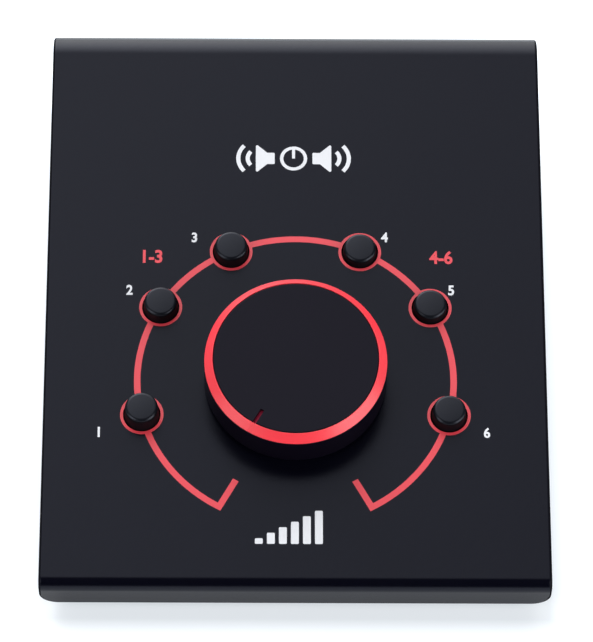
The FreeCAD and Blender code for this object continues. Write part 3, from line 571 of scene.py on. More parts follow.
@dataclass(frozen=True)
class Plating(Finish):
    """Plated or bare metal with long fine scratches along one way and small waves."""

    scratch: float = 0.06
    scratch_depth: float = 0.0012
    scratch_run: Way = (1.0, 0.08, 0.3)
    wave: float = 1.4
    wave_depth: float = 0.004

    def texture(self, sheet: ShaderSheet) -> None:
        """Adds the scratches and the waves.

        Args:
            sheet: the finish's node graph.
        """
        run = sheet.add("ShaderNodeMapping", {"Vector": sheet.place, "Scale": self.scratch_run}).outputs[0]
        sheet.relief(sheet.grain(self.scratch, detail=3.0, place=run), self.scratch_depth)
        sheet.relief(sheet.grain(self.wave, detail=1.0), self.wave_depth)


@dataclass(frozen=True)
class SolderMask(Finish):
    """Lacquered circuit board with copper tracks that show through as lighter lines."""

    pitch: float = 2.54
    track: Colour = (0.05, 0.22, 0.09)
    track_edges: Pair = (0.08, 0.12)
    track_height: float = 0.03
    lacquer: float = 0.5

    def texture(self, sheet: ShaderSheet) -> None:
        """Adds the tracks, as raised and lighter bands, and the lacquer.

        Args:
            sheet: the finish's node graph.
        """
        cells = sheet.add("ShaderNodeTexVoronoi", {"Vector": sheet.place, "Scale": 1 / (self.pitch * MM)},
                          distance="MANHATTAN", feature="DISTANCE_TO_EDGE").outputs["Distance"]
        tracks = sheet.between(cells, 1, 0, *self.track_edges)
        sheet.feed("Base Color", sheet.blend(tracks, self.colour, self.track))
        sheet.relief(tracks, self.track_height)
        sheet.fix(Coat_Weight=self.lacquer)


@dataclass(frozen=True)
class FlatCable(Finish):
    """Ribbon cable with ridges along it."""

    width: float = 12.7
    ridge_height: float = 0.25

    def texture(self, sheet: ShaderSheet) -> None:
        """Adds the ridges."""
        sheet.relief(sheet.ridges(self.width, "X"), self.ridge_height)


COOL_SHEEN = (0.8, 0.84, 1.0)
COVER_PAINT = PowderCoat("cover_paint", (0.001, 0.001, 0.0035), 0.26, drift=0.08, haze=0.02, patch=30.0,
                         index=1.27, sheen=COOL_SHEEN)
COVER_EDGE = PowderCoat("cover_edge", (0.005, 0.005, 0.007), 0.85, patch=6.0, gloss=0.0)
TRAY_PAINT = PowderCoat("tray_paint", (0.006, 0.006, 0.008), 0.46, patch=20.0, peel_depth=0.02)
ZINC_STEEL = Plating("zinc_steel", (0.62, 0.62, 0.6), 0.32, metal=1.0)
BLACK_SCREWS = Plating("black_screws", (0.035, 0.035, 0.038), 0.34, patch=2.0, metal=0.6)
FOOT_RUBBER = Moulding("foot_rubber", (0.018, 0.018, 0.018), 0.78, drift=0.2, grit=0.3, grit_depth=0.02)
JACK_MOULDING = Moulding("jack_moulding", (0.016, 0.016, 0.017), 0.42)
NICKEL = Plating("nickel", (0.66, 0.63, 0.57), 0.2, patch=3.0, haze=0.06, metal=1.0)
PHONO_WHITE = Moulding("phono_white", (0.78, 0.77, 0.72), 0.3, drift=0.04)
PHONO_RED = Moulding("phono_red", (0.5, 0.016, 0.018), 0.3, drift=0.06)
CIRCUIT_BOARD = SolderMask("circuit_board", (0.018, 0.11, 0.045), 0.3)
PILLAR_BRASS = Plating("pillar_brass", (0.72, 0.52, 0.22), 0.26, metal=1.0)
RIBBON_GREY = FlatCable("ribbon_grey", (0.32, 0.32, 0.34), 0.5)
COMPONENT_BLACK = Moulding("component_black", (0.02, 0.02, 0.02), 0.5)
PLUNGER_WHITE = Moulding("plunger_white", (0.7, 0.7, 0.67), 0.4, drift=0.04)
KNOB_BLACK = Anodised("knob_black", (0.003, 0.002, 0.005), 0.3, drift=0.08, haze=0.02, patch=16.0,
                      index=1.212, sheen=COOL_SHEEN)
KNOB_RED = Anodised("knob_red", (0.76, 0.032, 0.048), 0.36, drift=0.04, haze=0.02, patch=12.0)
# Darker, duller red on the floor of the cap's recess, seen through the pointer slot: painted shade in the recess.
KNOB_RECESS_PAINTED_SHADE = Anodised("knob_recess", (0.34, 0.01, 0.045), 0.5, drift=0.04, haze=0.02, patch=12.0,
                       gloss=0.1)
BUTTON_BLACK = Moulding("button_black", (0.003, 0.0035, 0.0055), 0.3, drift=0.08, patch=3.0,
                        index=1.32, sheen=COOL_SHEEN)
# Sides of the caps: a duller finish, and a darker black that paints the shade on the sides.
BUTTON_SIDE_PAINTED_SHADE = Moulding("button_side", (0.003, 0.0025, 0.004), 0.55, drift=0.08, patch=3.0, index=1.32,
                       gloss=0.2)
RED_INK = ScreenInk("red_ink", (0.62, 0.038, 0.056), 0.42, drift=0.04, patch=6.0)
WHITE_INK = ScreenInk("white_ink", (0.64, 0.655, 0.69), 0.42, drift=0.03, patch=6.0)

NODE_FINISHES = (COVER_PAINT, TRAY_PAINT, ZINC_STEEL, BLACK_SCREWS, FOOT_RUBBER, JACK_MOULDING, NICKEL,
                 PHONO_WHITE, PHONO_RED, CIRCUIT_BOARD, PILLAR_BRASS, RIBBON_GREY, COMPONENT_BLACK,
                 PLUNGER_WHITE, KNOB_BLACK, KNOB_RED, BUTTON_BLACK)


class PaintShop:
    """Makes each finish once and gives it to the nodes of its slot."""

    def __init__(self) -> None:
        """Starts with no material made."""
        self.made: dict[str, Material] = {}

    def material(self, finish: Finish) -> Material:
        """Looks up the material of a finish, or makes it the first time.

        Args:
            finish: the finish.

        Returns:
            Its material.
        """
        if finish.name not in self.made:
            self.made[finish.name] = finish.make()
        return self.made[finish.name]

    def dress_nodes(self) -> None:
        """Puts each finish on the nodes whose slot has its name."""
        for finish in NODE_FINISHES:
            held = [part["node"] for part in frame["record"]["subparts"]
                    if part["material_slot"] == finish.name]
            for name in held:
                for place in frame["nodes"][name].material_slots:
                    place.material = self.material(finish)
            LOG.info("%s on %d nodes", finish.name, len(held))


# ---------------------------------------------------------------- frames of the object

@dataclass(frozen=True)
class PanelFrame:
    """The sloping panel: where the knob's axis leaves it, and the axis."""

    origin: Vector
    normal: Vector

    @classmethod
    def of_knob(cls) -> "PanelFrame":
        """The frame that the volume knob's joint gives."""
        joint = next(joint for joint in frame["joints"] if joint["name"] == "volume_turn")
        return cls(Vector(joint["pos_m"]), Vector(joint["axis"]).normalized())

    @property
    def slope(self) -> float:
        """The panel's tilt, in radians."""
        return math.atan2(-self.normal.y, self.normal.z)

    def place(self, across: float = 0.0, along: float = 0.0, out: float = 0.0) -> Matrix:
        """The panel's axes at a point given in millimetres."""
        shift = Matrix.Translation(Vector((across, along, out)) * MM)
        return Matrix.Translation(self.origin) @ Matrix.Rotation(self.slope, 4, "X") @ shift


PANEL = PanelFrame.of_knob()
BUTTON_CIRCLE = 40.8
BUTTON_ANGLES = {"mute": -104.3, "source": -59.3, "swap": -24.4,
                 "output_a": 24.4, "output_b": 59.3, "mono": 104.3}
LATCHED = ("output_a", "output_b", "mono")
FRONT_PAIR = ("mute", "mono")


def button_place(name: str) -> Point:
    """A button's centre in the panel frame."""
    return arc(BUTTON_CIRCLE, BUTTON_ANGLES[name], BUTTON_ANGLES[name], 1)[0]


# ---------------------------------------------------------------- casing

@dataclass
class TopCover:
    """Bent sheet cover: flange, front bend, panel, rear bend and lip, from one rounded blank."""

    width: float = 130.0
    sheet: float = 2.0
    flange: float = 10.7
    front_bend: float = 2.9
    front_run: float = 58.2
    rear_run: float = 96.8
    rear_bend: float = 8.5
    lip: float = 3.0
    flange_corner: float = 5.0
    lip_corner: float = 2.0
    corner_steps: int = 10
    outer_round: float = 0.8
    round_steps: int = 5
    face_rings: int = 1
    inner_break: float = 0.12
    degrees_per_facet: float = 4.0
    button_hole: float = 4.72
    shaft_hole: float = 4.6
    hole_break: float = 0.12

    @property
    def turns(self) -> list[tuple[float, float, float]]:
        """The stretches of the bent sheet, from the flange's edge to the lip's.

        Returns:
            Start, length and angle of each, along the outer face.
        """
        rear_angle = math.pi / 2 + PANEL.slope
        stretches = ((self.flange - self.front_bend, 0.0),
                     (self.front_bend * math.pi / 2, math.pi / 2),
                     (self.front_run - self.front_bend + self.rear_run, 0.0),
                     (self.rear_bend * rear_angle, rear_angle),
                     (self.lip, 0.0))
        starts = [sum(length for length, _ in stretches[:k]) for k in range(len(stretches))]
        return [(start, *stretch) for start, stretch in zip(starts, stretches)]

    def outline(self, inset: float) -> list[Point]:
        """The blank's outline, drawn in from its edge.

        Args:
            inset: how far it is drawn in.

        Returns:
            The points of the outline, its corners rounded.
        """
        lip_start, lip_length, _ = self.turns[-1]
        side, low, high = self.width / 2 - inset, inset, lip_start + lip_length - inset
        front, rear = self.flange_corner - inset, self.lip_corner - inset
        return rounded_path([(-side, low, front), (side, low, front), (side, high, rear),
                             (-side, high, rear)], self.corner_steps)

    def blank(self) -> Mesh:
        """The flat blank, face up: its outer edge rounded, its inner edge broken.

        Returns:
            The closed mesh, with its cut sides and the flange's edge marked for the second finish.
        """
        rings = []
        for step in range(self.round_steps + 1):
            angle = math.radians(90 * step / self.round_steps)
            inset = self.outer_round * (1 - math.sin(angle))
            rings.append((inset, -self.outer_round * (1 - math.cos(angle))))
        rings += [(0.0, self.inner_break - self.sheet), (self.inner_break, -self.sheet)]
        mesh = bmesh.new()
        loops = [[mesh.verts.new((x, y, depth)) for x, y in self.outline(inset)] for inset, depth in rings]
        for row, (here, after) in enumerate(zip(loops, loops[1:])):
            for vertex, side in zip(here, strip(mesh, here, after)):
                at_flange = vertex.co.y < self.flange_corner
                side.material_index = int(at_flange or row >= self.face_rings)
        mesh.faces.new(loops[0])
        mesh.faces.new(loops[-1])
        return mesh

    def bend(self, along: float, depth: float) -> Point:
        """Where a point of the blank comes to lie once the sheet is bent.

        Args:
            along: distance from the flange's edge along the outer face.
            depth: height over the outer face, negative inside the sheet.

        Returns:
            The place along and out of the panel.
        """
        at = Vector((-self.front_run, -self.flange))
        heading = math.pi / 2
        for start, length, turn in self.turns:
            run = min(max(along - start, 0.0), length)
            ahead = Vector((math.cos(heading), math.sin(heading)))
            if turn:
                radius = length / turn
                done = run / radius
                inward = Vector((math.sin(heading), -math.cos(heading)))
                at = at + inward * radius * (1 - math.cos(done)) + ahead * radius * math.sin(done)
                heading -= done
            else:
                at = at + ahead * run
        outward = Vector((-math.sin(heading), math.cos(heading)))
        return tuple(at + outward * depth)

    def mesh(self) -> Mesh:
        """Bends and drills the blank.

        Returns:
            The cover's mesh, in the panel frame.
        """
        blank = self.blank()
        for start, length, turn in self.turns:
            if not turn:
                continue
            facets = round(math.degrees(turn) / self.degrees_per_facet)
            for k in range(facets + 1):
                bmesh.ops.bisect_plane(blank, geom=blank.verts[:] + blank.edges[:] + blank.faces[:],
                                       plane_co=(0, start + length * k / facets, 0), plane_no=(0, 1, 0))
        for vertex in blank.verts:
            x, along, depth = vertex.co
            vertex.co = (x, *self.bend(along, depth))
        drills = [shifted(self.drill(self.button_hole), Matrix.Translation((*button_place(name), 0)))
                  for name in BUTTON_ANGLES]
        return carved(blank, drills + [self.drill(self.shaft_hole)])

    def drill(self, radius: float) -> Mesh:
        """Makes a drill that leaves a hole with its upper edge broken.

        Args:
            radius: the hole's radius.

        Returns:
            The drill's mesh.
        """
        below = -self.sheet - OVERCUT
        flare = radius + self.hole_break + OVERCUT
        return lathe([(0, below), (radius, below), (radius, -self.hole_break), (flare, OVERCUT),
                      (0, OVERCUT)], SMALL_STEPS)

    def build(self, shop: PaintShop) -> None:
        """Makes the cover in place of its node."""
        add_piece("cover_shell", self.mesh(), shop.material(COVER_PAINT), "root",
                  PANEL.place(), ["top_cover"], shop.material(COVER_EDGE))


# ---------------------------------------------------------------- knob and buttons

@dataclass
class VolumeKnob:
    """Turned knob: black skirt, red core with its chamfer, black cap with the pointer slot."""

    radius: float = 23.55
    foot: float = 1.4
    foot_round: float = 0.4
    foot_break: float = 0.2
    shoulder: float = 11.0
    shoulder_break: float = 0.06
    chamfer: float = 2.1
    chamfer_breaks: Pair = (0.08, 0.05)
    land: float = 0.12
    land_break: float = 0.03
    wall: float = 2.0
    web: float = 2.8
    cap_gap: float = 0.2
    cap_thick: float = 0.9
    cap_round: float = 0.15
    fit: float = 0.05
    slot_width: float = 1.0
    slot_reach: float = 17.0
    slot_bite: float = 0.12
    pointer: float = -150.0
    hub: float = 5.6
    hub_foot: float = 4.0
    hub_round: float = 0.3
    bore: float = 3.05
    bore_end: float = 10.9
    bore_break: float = 0.2
    break_steps: int = 3

    @property
    def top(self) -> float:
        """Height of the knob's top."""
        return self.shoulder + self.chamfer

    @property
    def rim(self) -> float:
        """Radius where the chamfer ends."""
        return self.radius - self.chamfer

    @property
    def cap_floor(self) -> float:
        """Height of the recess that holds the cap."""
        return self.top - self.cap_thick

    @property
    def aim(self) -> Matrix:
        """Turns the x axis to the pointer's direction."""
        return Matrix.Rotation(math.radians(90 - self.pointer), 4, "Z")

    def skirt(self) -> Mesh:
        """Turns the black wall.

        Returns:
            Its mesh.
        """
        inside = self.radius - self.wall
        return lathe(rounded_path([
            (self.radius, self.foot, self.foot_round), (self.radius, self.shoulder, self.shoulder_break),
            (inside, self.shoulder, 0), (inside, self.foot, self.foot_break)]), KNOB_STEPS)

    def groove(self) -> Mesh:
        """A bar that cuts the pointer's groove: it lies along the chamfer and runs past both its ends.

        Returns:
            Its mesh.
        """
        deep = self.slot_bite * math.sqrt(2)
        ends = [(self.radius + OVERCUT, self.shoulder - OVERCUT - deep),
                (self.radius + 3 * OVERCUT, self.shoulder + OVERCUT - deep),
                (self.rim + OVERCUT, self.top + 3 * OVERCUT - deep),
                (self.rim - OVERCUT, self.top + OVERCUT - deep)]
        bar = prism(ends, -self.slot_width / 2, self.slot_width / 2)
        return shifted(bar, self.aim @ Matrix.Rotation(math.pi / 2, 4, "X"))

    def core(self) -> Mesh:
        """Turns the red core and cuts the groove that carries the pointer over its chamfer.

        Returns:
            Its mesh, with the floor of the cap's recess marked for the second finish, a darker red that paints the
            shade in the recess.
        """
        disc = self.shoulder - self.web
        inner = self.radius - self.wall - self.fit
        recess = self.rim - self.land
        low_break, high_break = self.chamfer_breaks
        turned = lathe(rounded_path([
            (0, self.cap_floor, 0), (recess, self.cap_floor, 0), (recess, self.top, self.land_break),
            (self.rim, self.top, high_break), (self.radius, self.shoulder, low_break),
            (inner, self.shoulder, 0), (inner, disc, 0), (self.hub, disc, 0),
            (self.hub, self.hub_foot, self.hub_round), (self.bore, self.hub_foot, self.bore_break),
            (self.bore, self.bore_end, 0), (0, self.bore_end, 0)], self.break_steps), KNOB_STEPS)
        return carved(marked(turned, self.is_recess_floor), [self.groove()])

    def is_recess_floor(self, face: Face) -> bool:
        """Whether a face belongs to the floor of the cap's recess."""
        return all(abs(vertex.co.z - self.cap_floor) < self.land / 2 for vertex in face.verts)

    def cap(self) -> Mesh:
        """Turns the black cap and slots it for the pointer.

        Returns:
            Its mesh.
        """
        edge = self.rim - self.land - self.cap_gap
        disc = lathe(rounded_path([(0, self.cap_floor, 0), (edge, self.cap_floor, 0),
                                   (edge, self.top, self.cap_round), (0, self.top, 0)]), KNOB_STEPS)
        half = self.slot_width / 2
        slot = prism([(self.slot_reach, -half), (self.radius, -half), (self.radius, half),
                      (self.slot_reach, half)], self.cap_floor - OVERCUT, self.top + OVERCUT)
        return carved(disc, [shifted(slot, self.aim)])

    def build(self, shop: PaintShop) -> None:
        """Makes the knob's three parts in place of their nodes.

        Args:
            shop: where the finishes come from.
        """
        black, red = shop.material(KNOB_BLACK), shop.material(KNOB_RED)
        place = PANEL.place()
        add_piece("volume_skirt", self.skirt(), black, "knob", place, ["knob_skirt"])
        # The core's recess floor takes the darker red: painted shade.
        add_piece("volume_core", self.core(), red, "knob", place, ["knob_core"],
                  shop.material(KNOB_RECESS_PAINTED_SHADE))
        add_piece("volume_cap", self.cap(), black, "knob", place, ["knob_cap"])


@dataclass
class PushButton:
    """Moulded push-button cap with a rounded top, tapered above the panel."""

    name: str
    radius: float = 4.45
    taper: float = 0.25
    top: float = 3.65
    step: float = 1.05
    root: float = -3.0
    edge: float = 0.9
    bevel: float = 0.25
    socket: float = 2.2
    skin: float = 1.7
    latch: float = 1.0
    side_turn: float = 0.5

    def mesh(self) -> Mesh:
        """Turns the cap; those of the front pair are taller.

        Returns:
            Its mesh, with its sides marked for the second finish, a duller black that is also darker: painted
            shade on the sides.
        """
        roof = self.top - self.skin
        top = self.top + (self.step if self.name in FRONT_PAIR else 0.0)
        cap = lathe(rounded_path([
            (0, top, 0), (self.radius - self.taper, top, self.edge), (self.radius, 0, 0),
            (self.radius, self.root, self.bevel), (self.socket, self.root, 0), (self.socket, roof, 0),
            (0, roof, 0)]), SMALL_STEPS)
        bmesh.ops.recalc_face_normals(cap, faces=cap.faces)
        return marked(cap, lambda face: abs(face.normal.z) < self.side_turn)

    def build(self, shop: PaintShop) -> None:
        """Makes the cap in place of its node; a latched one stands lower.

        Args:
            shop: where the finishes come from.
        """
        sink = self.latch if self.name in LATCHED else 0.0
        # The cap's sides take the duller, darker black: painted shade.
        add_piece(f"{self.name}_cap", self.mesh(), shop.material(BUTTON_BLACK),
                  f"{self.name}_key", PANEL.place(*button_place(self.name), -sink),
                  [f"{self.name}_button"], shop.material(BUTTON_SIDE_PAINTED_SHADE))


# ---------------------------------------------------------------- print on the panel

class Ink(Enum):
    """The two inks of the panel's print."""

    RED = "red"
    WHITE = "white"


@dataclass(frozen=True)
class SpeakerSign:
    """A loudspeaker pictogram, drawn facing right: its magnet, its cone and two waves."""

    magnet: Pair = (-4.6, -2.6)
    magnet_half: float = 1.7
    magnet_round: float = 0.3
    mouth: float = 0.4
    mouth_half: float = 4.4
    mouth_round: float = 0.35
    waves: Pair = (3.4, 5.9)
    wave_width: float = 1.1
    wave_shift: float = -0.3
    wave_angles: Pair = (45.0, 135.0)
    wave_steps: int = 24

    def paths(self) -> list[list[Point]]:
        """Draws the pictogram.

        Returns:
            The outline of each printed area.
        """
        back, neck = self.magnet
        horn = rounded_path([(back, -self.magnet_half, self.magnet_round), (neck, -self.magnet_half, 0),
                             (self.mouth, -self.mouth_half, self.mouth_round),
                             (self.mouth, self.mouth_half, self.mouth_round),
                             (neck, self.magnet_half, 0), (back, self.magnet_half, self.magnet_round)])
        start, end = self.wave_angles
        waves = [moved(arc(reach, start, end, self.wave_steps)
                       + arc(reach - self.wave_width, end, start, self.wave_steps), self.wave_shift, 0.0)
                 for reach in self.waves]
        return [horn, *waves]


@dataclass
class PanelPrint:
    """Print on the panel: the ring of buttons, plain numbers, two plain loudspeakers, a dial and bars."""

    low: float = 0.004
    high: float = 0.03
    overprint: float = 0.004
    ring_inner: float = 4.84
    ring_outer: float = 5.6
    ring_tuck: float = 0.1
    band_inner: float = 40.04
    band_outer: float = 41.71
    band_end: float = 152.7
    degrees_per_facet: float = 1.5
    stroke_length: float = 9.41
    stroke_lean: float = 2.2
    number_height: float = 2.9
    number_places: dict[str, Point] = field(default_factory=lambda: {
        "mute": (-50.5, -15.1), "source": (-43.3, 25.8), "swap": (-26.5, 41.3),
        "output_a": (23.4, 41.55), "output_b": (40.65, 26.0), "mono": (49.2, -14.95)})
    group_height: float = 3.9
    group_places: dict[str, Point] = field(default_factory=lambda: {
        "1-3": (-37.7, 35.65), "4-6": (38.15, 35.65)})
    figure_width: float = 0.9
    figure_weight: float = 0.03
    figure_depth: float = 0.5
    figure_weld: float = 1e-5
    sign_middle: Point = (-0.5, 65.0)
    sign_spread: float = 9.6
    dial_inner: float = 2.7
    dial_outer: float = 3.6
    dial_steps: int = 64
    hand_half: float = 0.4
    hand_length: float = 2.75
    bars: int = 6
    bars_across: Pair = (-10.3, 8.0)
    bars_along: Pair = (-46.2, -37.0)
    bar_share: float = 0.66
    bar_round: float = 0.3
    bar_round_steps: int = 3
    shapes: dict[Ink, list[Mesh]] = field(default_factory=lambda: {ink: [] for ink in Ink})

    def flat(self, ink: Ink, path: Sequence[Point], overprint: float = 0.0) -> None:
        """Prints the area inside a path, higher where it lies over other print."""
        self.shapes[ink].append(prism(path, self.low, self.high + overprint))

    def ring(self, ink: Ink, place: Point, inner: float, outer: float, steps: int,
             overprint: float = 0.0) -> None:
        """Prints a ring.

        Args:
            ink: the ink.
            place: its centre.
            inner: its inner radius.
            outer: its outer radius.
            steps: how many facets it has.
            overprint: how much higher it is, where it lies over other print.
        """
        roof = self.high + overprint
        loop = [(inner, self.low), (outer, self.low), (outer, roof), (inner, roof)]
        self.shapes[ink].append(shifted(lathe(loop, steps), Matrix.Translation((*place, 0))))

    def band(self, start: float, end: float) -> None:
        """Prints a stretch of the large ring between two angles."""
        steps = round((end - start) / self.degrees_per_facet)
        self.flat(Ink.RED, arc(self.band_outer, start, end, steps) + arc(self.band_inner, end, start, steps))

    def button_ring(self) -> None:
        """Prints the stretches of the large ring, the rings round the buttons and the two end strokes."""
        middle = (self.band_inner + self.band_outer) / 2
        reach = math.degrees(2 * math.asin((self.ring_outer - self.ring_tuck) / 2 / middle))
        angles = sorted(BUTTON_ANGLES.values())
        starts = [-self.band_end] + [angle + reach for angle in angles]
        ends = [angle - reach for angle in angles] + [self.band_end]
        for start, end in zip(starts, ends):
            self.band(start, end)
        for name in BUTTON_ANGLES:
            self.ring(Ink.RED, button_place(name), self.ring_inner, self.ring_outer, SMALL_STEPS,
                      self.overprint)
        for side in (-1, 1):
            self.end_stroke(side)

    def end_stroke(self, side: int) -> None:
        """Prints the stroke that runs inwards from one end of the large ring.

        Args:
            side: -1 for the left end, 1 for the right one.
        """
        turn = math.radians(side * self.band_end)
        lean = math.radians(side * (self.band_end - self.stroke_lean))
        foot = Vector((math.sin(turn), math.cos(turn))) * self.band_outer
        along = Vector((math.sin(lean), math.cos(lean)))
        tip = foot - along * self.stroke_length
        inward = Vector((along.y, -along.x)) * -side * (self.band_outer - self.band_inner)
        corners = [tuple(corner) for corner in (tip, foot, foot + inward, tip + inward)]
        self.flat(Ink.RED, corners, self.overprint)

    def lettering(self, ink: Ink, text: str, place: Point, height: float) -> None:
        """Prints plain characters.

        Args:
            ink: the ink.
            text: the characters.
            place: the middle of the text.
            height: height of a figure.
        """
        curve = bpy.data.curves.new("figures", "FONT")
        curve.body = text
        curve.align_x = "CENTER"
        curve.align_y = "CENTER"
        curve.offset = self.figure_weight
        curve.extrude = self.figure_depth
        item = bpy.data.objects.new("figures", curve)
        bpy.context.scene.collection.objects.link(item)
        bpy.context.view_layer.update()
        figures = bpy.data.meshes.new_from_object(item.evaluated_get(bpy.context.evaluated_depsgraph_get()))
        mesh = bmesh.new()
        mesh.from_mesh(figures)
        bpy.data.objects.remove(item)
        bpy.data.curves.remove(curve)
        bpy.data.meshes.remove(figures)
        bmesh.ops.remove_doubles(mesh, verts=mesh.verts, dist=self.figure_weld)
        ys = [vertex.co.y for vertex in mesh.verts]
        scale = height / (max(ys) - min(ys))
        middle = (max(ys) + min(ys)) / 2
        across, along = place
        for vertex in mesh.verts:
            x, y, z = vertex.co
            level = self.high if z > 0 else self.low
            vertex.co = (across + x * scale * self.figure_width, along + (y - middle) * scale, level)
        self.shapes[ink].append(mesh)

    def numbers(self) -> None:
        """Prints a number beside each button and the range of each group of three."""
        for number, place in enumerate(self.number_places.values(), start=1):
            self.lettering(Ink.WHITE, str(number), place, self.number_height)
        for text, place in self.group_places.items():
            self.lettering(Ink.RED, text, place, self.group_height)

    def signs(self) -> None:
        """Prints the row of pictograms: a dial between two loudspeakers that face outwards."""
        across, along = self.sign_middle
        for side in (-1, 1):
            for path in SpeakerSign().paths():
                facing = [(side * x, y) for x, y in path]
                self.flat(Ink.WHITE, moved(facing, across + side * self.sign_spread, along))
        self.ring(Ink.WHITE, self.sign_middle, self.dial_inner, self.dial_outer, self.dial_steps)
        hand = [(-self.hand_half, 0.0), (self.hand_half, 0.0), (self.hand_half, self.hand_length),
                (-self.hand_half, self.hand_length)]
        self.flat(Ink.WHITE, moved(hand, across, along))

    def level_bars(self) -> None:
        """Prints bars that rise from left to right."""
        (left, right), (low, high) = self.bars_across, self.bars_along
        pitch = (right - left) / self.bars
        for k in range(self.bars):
            start = left + pitch * k
            end = start + pitch * self.bar_share
            top = low + (high - low) * (k + 1) / self.bars
            bar = [(x, y, self.bar_round) for x, y in ((start, low), (end, low), (end, top), (start, top))]
            self.flat(Ink.WHITE, rounded_path(bar, self.bar_round_steps))

    def build(self, shop: PaintShop) -> None:
        """Prints everything, one piece for each ink.

        Args:
            shop: where the inks come from.
        """
        self.button_ring()
        self.numbers()
        self.signs()
        self.level_bars()
        for ink, finish in ((Ink.RED, RED_INK), (Ink.WHITE, WHITE_INK)):
            add_piece(f"panel_print_{ink.value}", joined(self.shapes[ink]), shop.material(finish),
                      "root", PANEL.place())


# ---------------------------------------------------------------- sockets

@dataclass
class JackThread:
    """Moulded thread on the end of a jack's nose, beyond its nut."""

    radius: float = 5.5
    crest: float = 0.16
    pitch: float = 0.75
    start: float = 3.1
    end: float = 4.4
    run_out: float = 0.3
    wall: float = 0.3
    steps: int = 72
    rows: int = 26

    def loop(self, mesh: Mesh, reaches: Sequence[float], height: float) -> Loop:
        """Sets a loop of vertices round the z axis.

        Args:
            mesh: the mesh that takes them.
            reaches: how far from the axis each one is.
            height: their height.

        Returns:
            The vertices.
        """
        turns = [math.tau * k / self.steps for k in range(self.steps)]
        return [mesh.verts.new((reach * math.cos(turn), reach * math.sin(turn), height))
                for reach, turn in zip(reaches, turns)]

    def mesh(self) -> Mesh:
        """Makes the threaded sleeve.

        Returns:
            Its mesh, along z.
        """
        mesh = bmesh.new()
        loops = []
        for row in range(self.rows + 1):
            height = self.start + (self.end - self.start) * row / self.rows
            fade = min(1.0, (self.end - height) / self.run_out)
            phases = [(height / self.pitch - k / self.steps) % 1 for k in range(self.steps)]
            reaches = [self.radius + self.crest * (1 - abs(2 * phase - 1)) * fade for phase in phases]
            loops.append(self.loop(mesh, reaches, height))
        inside = [self.radius - self.wall] * self.steps
        loops += [self.loop(mesh, inside, height) for height in (self.end, self.start)]
        for here, after in zip(loops, loops[1:] + loops[:1]):
            strip(mesh, here, after)
        return mesh

    def build(self, shop: PaintShop) -> None:
        """Makes the thread of each jack where its socket's mount is.

        Args:
            shop: where the finish comes from.
        """
        low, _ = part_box("jack_washers")
        for mount in frame["record"]["mounts"]:
            if mount["kind"] != "bore" or "phono" in mount["name"]:
                continue
            x, _, z = mount["pos_m"]
            place = Matrix.Translation((x, low.y, z)) @ Matrix.Rotation(-math.pi / 2, 4, "X")
            add_piece(mount["name"].replace("socket", "thread"), self.mesh(), shop.material(JACK_MOULDING),
                      "root", place)


# ---------------------------------------------------------------- studio

@dataclass
class Viewpoint:
    """Camera that looks down on the panel from the front."""

    tilt: float = 26.403
    yaw: float = -0.497
    roll: float = -0.225
    distance: float = 1124.588
    aim_across: float = 0.79
    aim_along: float = 16.93
    focal_pixels: float = 4323.722
    picture_height: float = 642.0
    picture_shift: float = -1.99
    sensor: float = 36.0
    farthest: float = 20.0

    def axes(self) -> Matrix:
        """Turns the camera in the panel frame.

        Returns:
            The camera's axes: right, up and backwards.
        """
        tilt, yaw, roll = (math.radians(angle) for angle in (self.tilt, self.yaw, self.roll))
        right = Vector((1, 0, 0))
        ahead = Vector((0, math.sin(tilt), -math.cos(tilt)))
        up = Vector((0, math.cos(tilt), math.sin(tilt)))
        right, ahead = (right * math.cos(yaw) + ahead * math.sin(yaw),
                        ahead * math.cos(yaw) - right * math.sin(yaw))
        right, up = (right * math.cos(roll) - up * math.sin(roll),
                     right * math.sin(roll) + up * math.cos(roll))
        return Matrix((right, up, -ahead)).transposed()

    def build(self) -> None:
        """Places the camera and makes it the scene's own."""
        axes = self.axes()
        eye = Vector((self.aim_across, self.aim_along, 0)) + axes.col[2] * self.distance
        data = bpy.data.cameras.new("studio_camera")
        data.sensor_fit = "VERTICAL"
        data.sensor_height = self.sensor
        data.lens = self.focal_pixels * self.sensor / self.picture_height
        data.shift_x = self.picture_shift / self.picture_height
        data.clip_end = self.farthest
        camera = bpy.data.objects.new("studio_camera", data)
        bpy.context.scene.collection.objects.link(camera)
        camera.matrix_world = PANEL.place() @ Matrix.Translation(eye * MM) @ axes.to_4x4()
        bpy.context.scene.camera = camera


@dataclass(frozen=True)
class Softbox:
    """A rectangular soft light that looks at the object.

    Attributes:
        name: the light's name.
        towards: direction of the light from the object.
        distance: how far it hangs from the object, in metres.
        width: its width, in metres.
        height: its height, in metres.
        brightness: how bright its face is.
    """

    name: str
    towards: Way
    distance: float
    width: float
    height: float
    brightness: float

    def build(self) -> None:
        """Hangs the light."""
        data = bpy.data.lights.new(self.name, "AREA")
        data.shape = "RECTANGLE"
        data.size, data.size_y = self.width, self.height
        data.energy = self.brightness * math.pi * self.width * self.height
        light = bpy.data.objects.new(self.name, data)
        bpy.context.scene.collection.objects.link(light)
        way = Vector(self.towards).normalized()
        light.location = way * self.distance
        light.rotation_euler = way.to_track_quat("Z", "Y").to_euler()


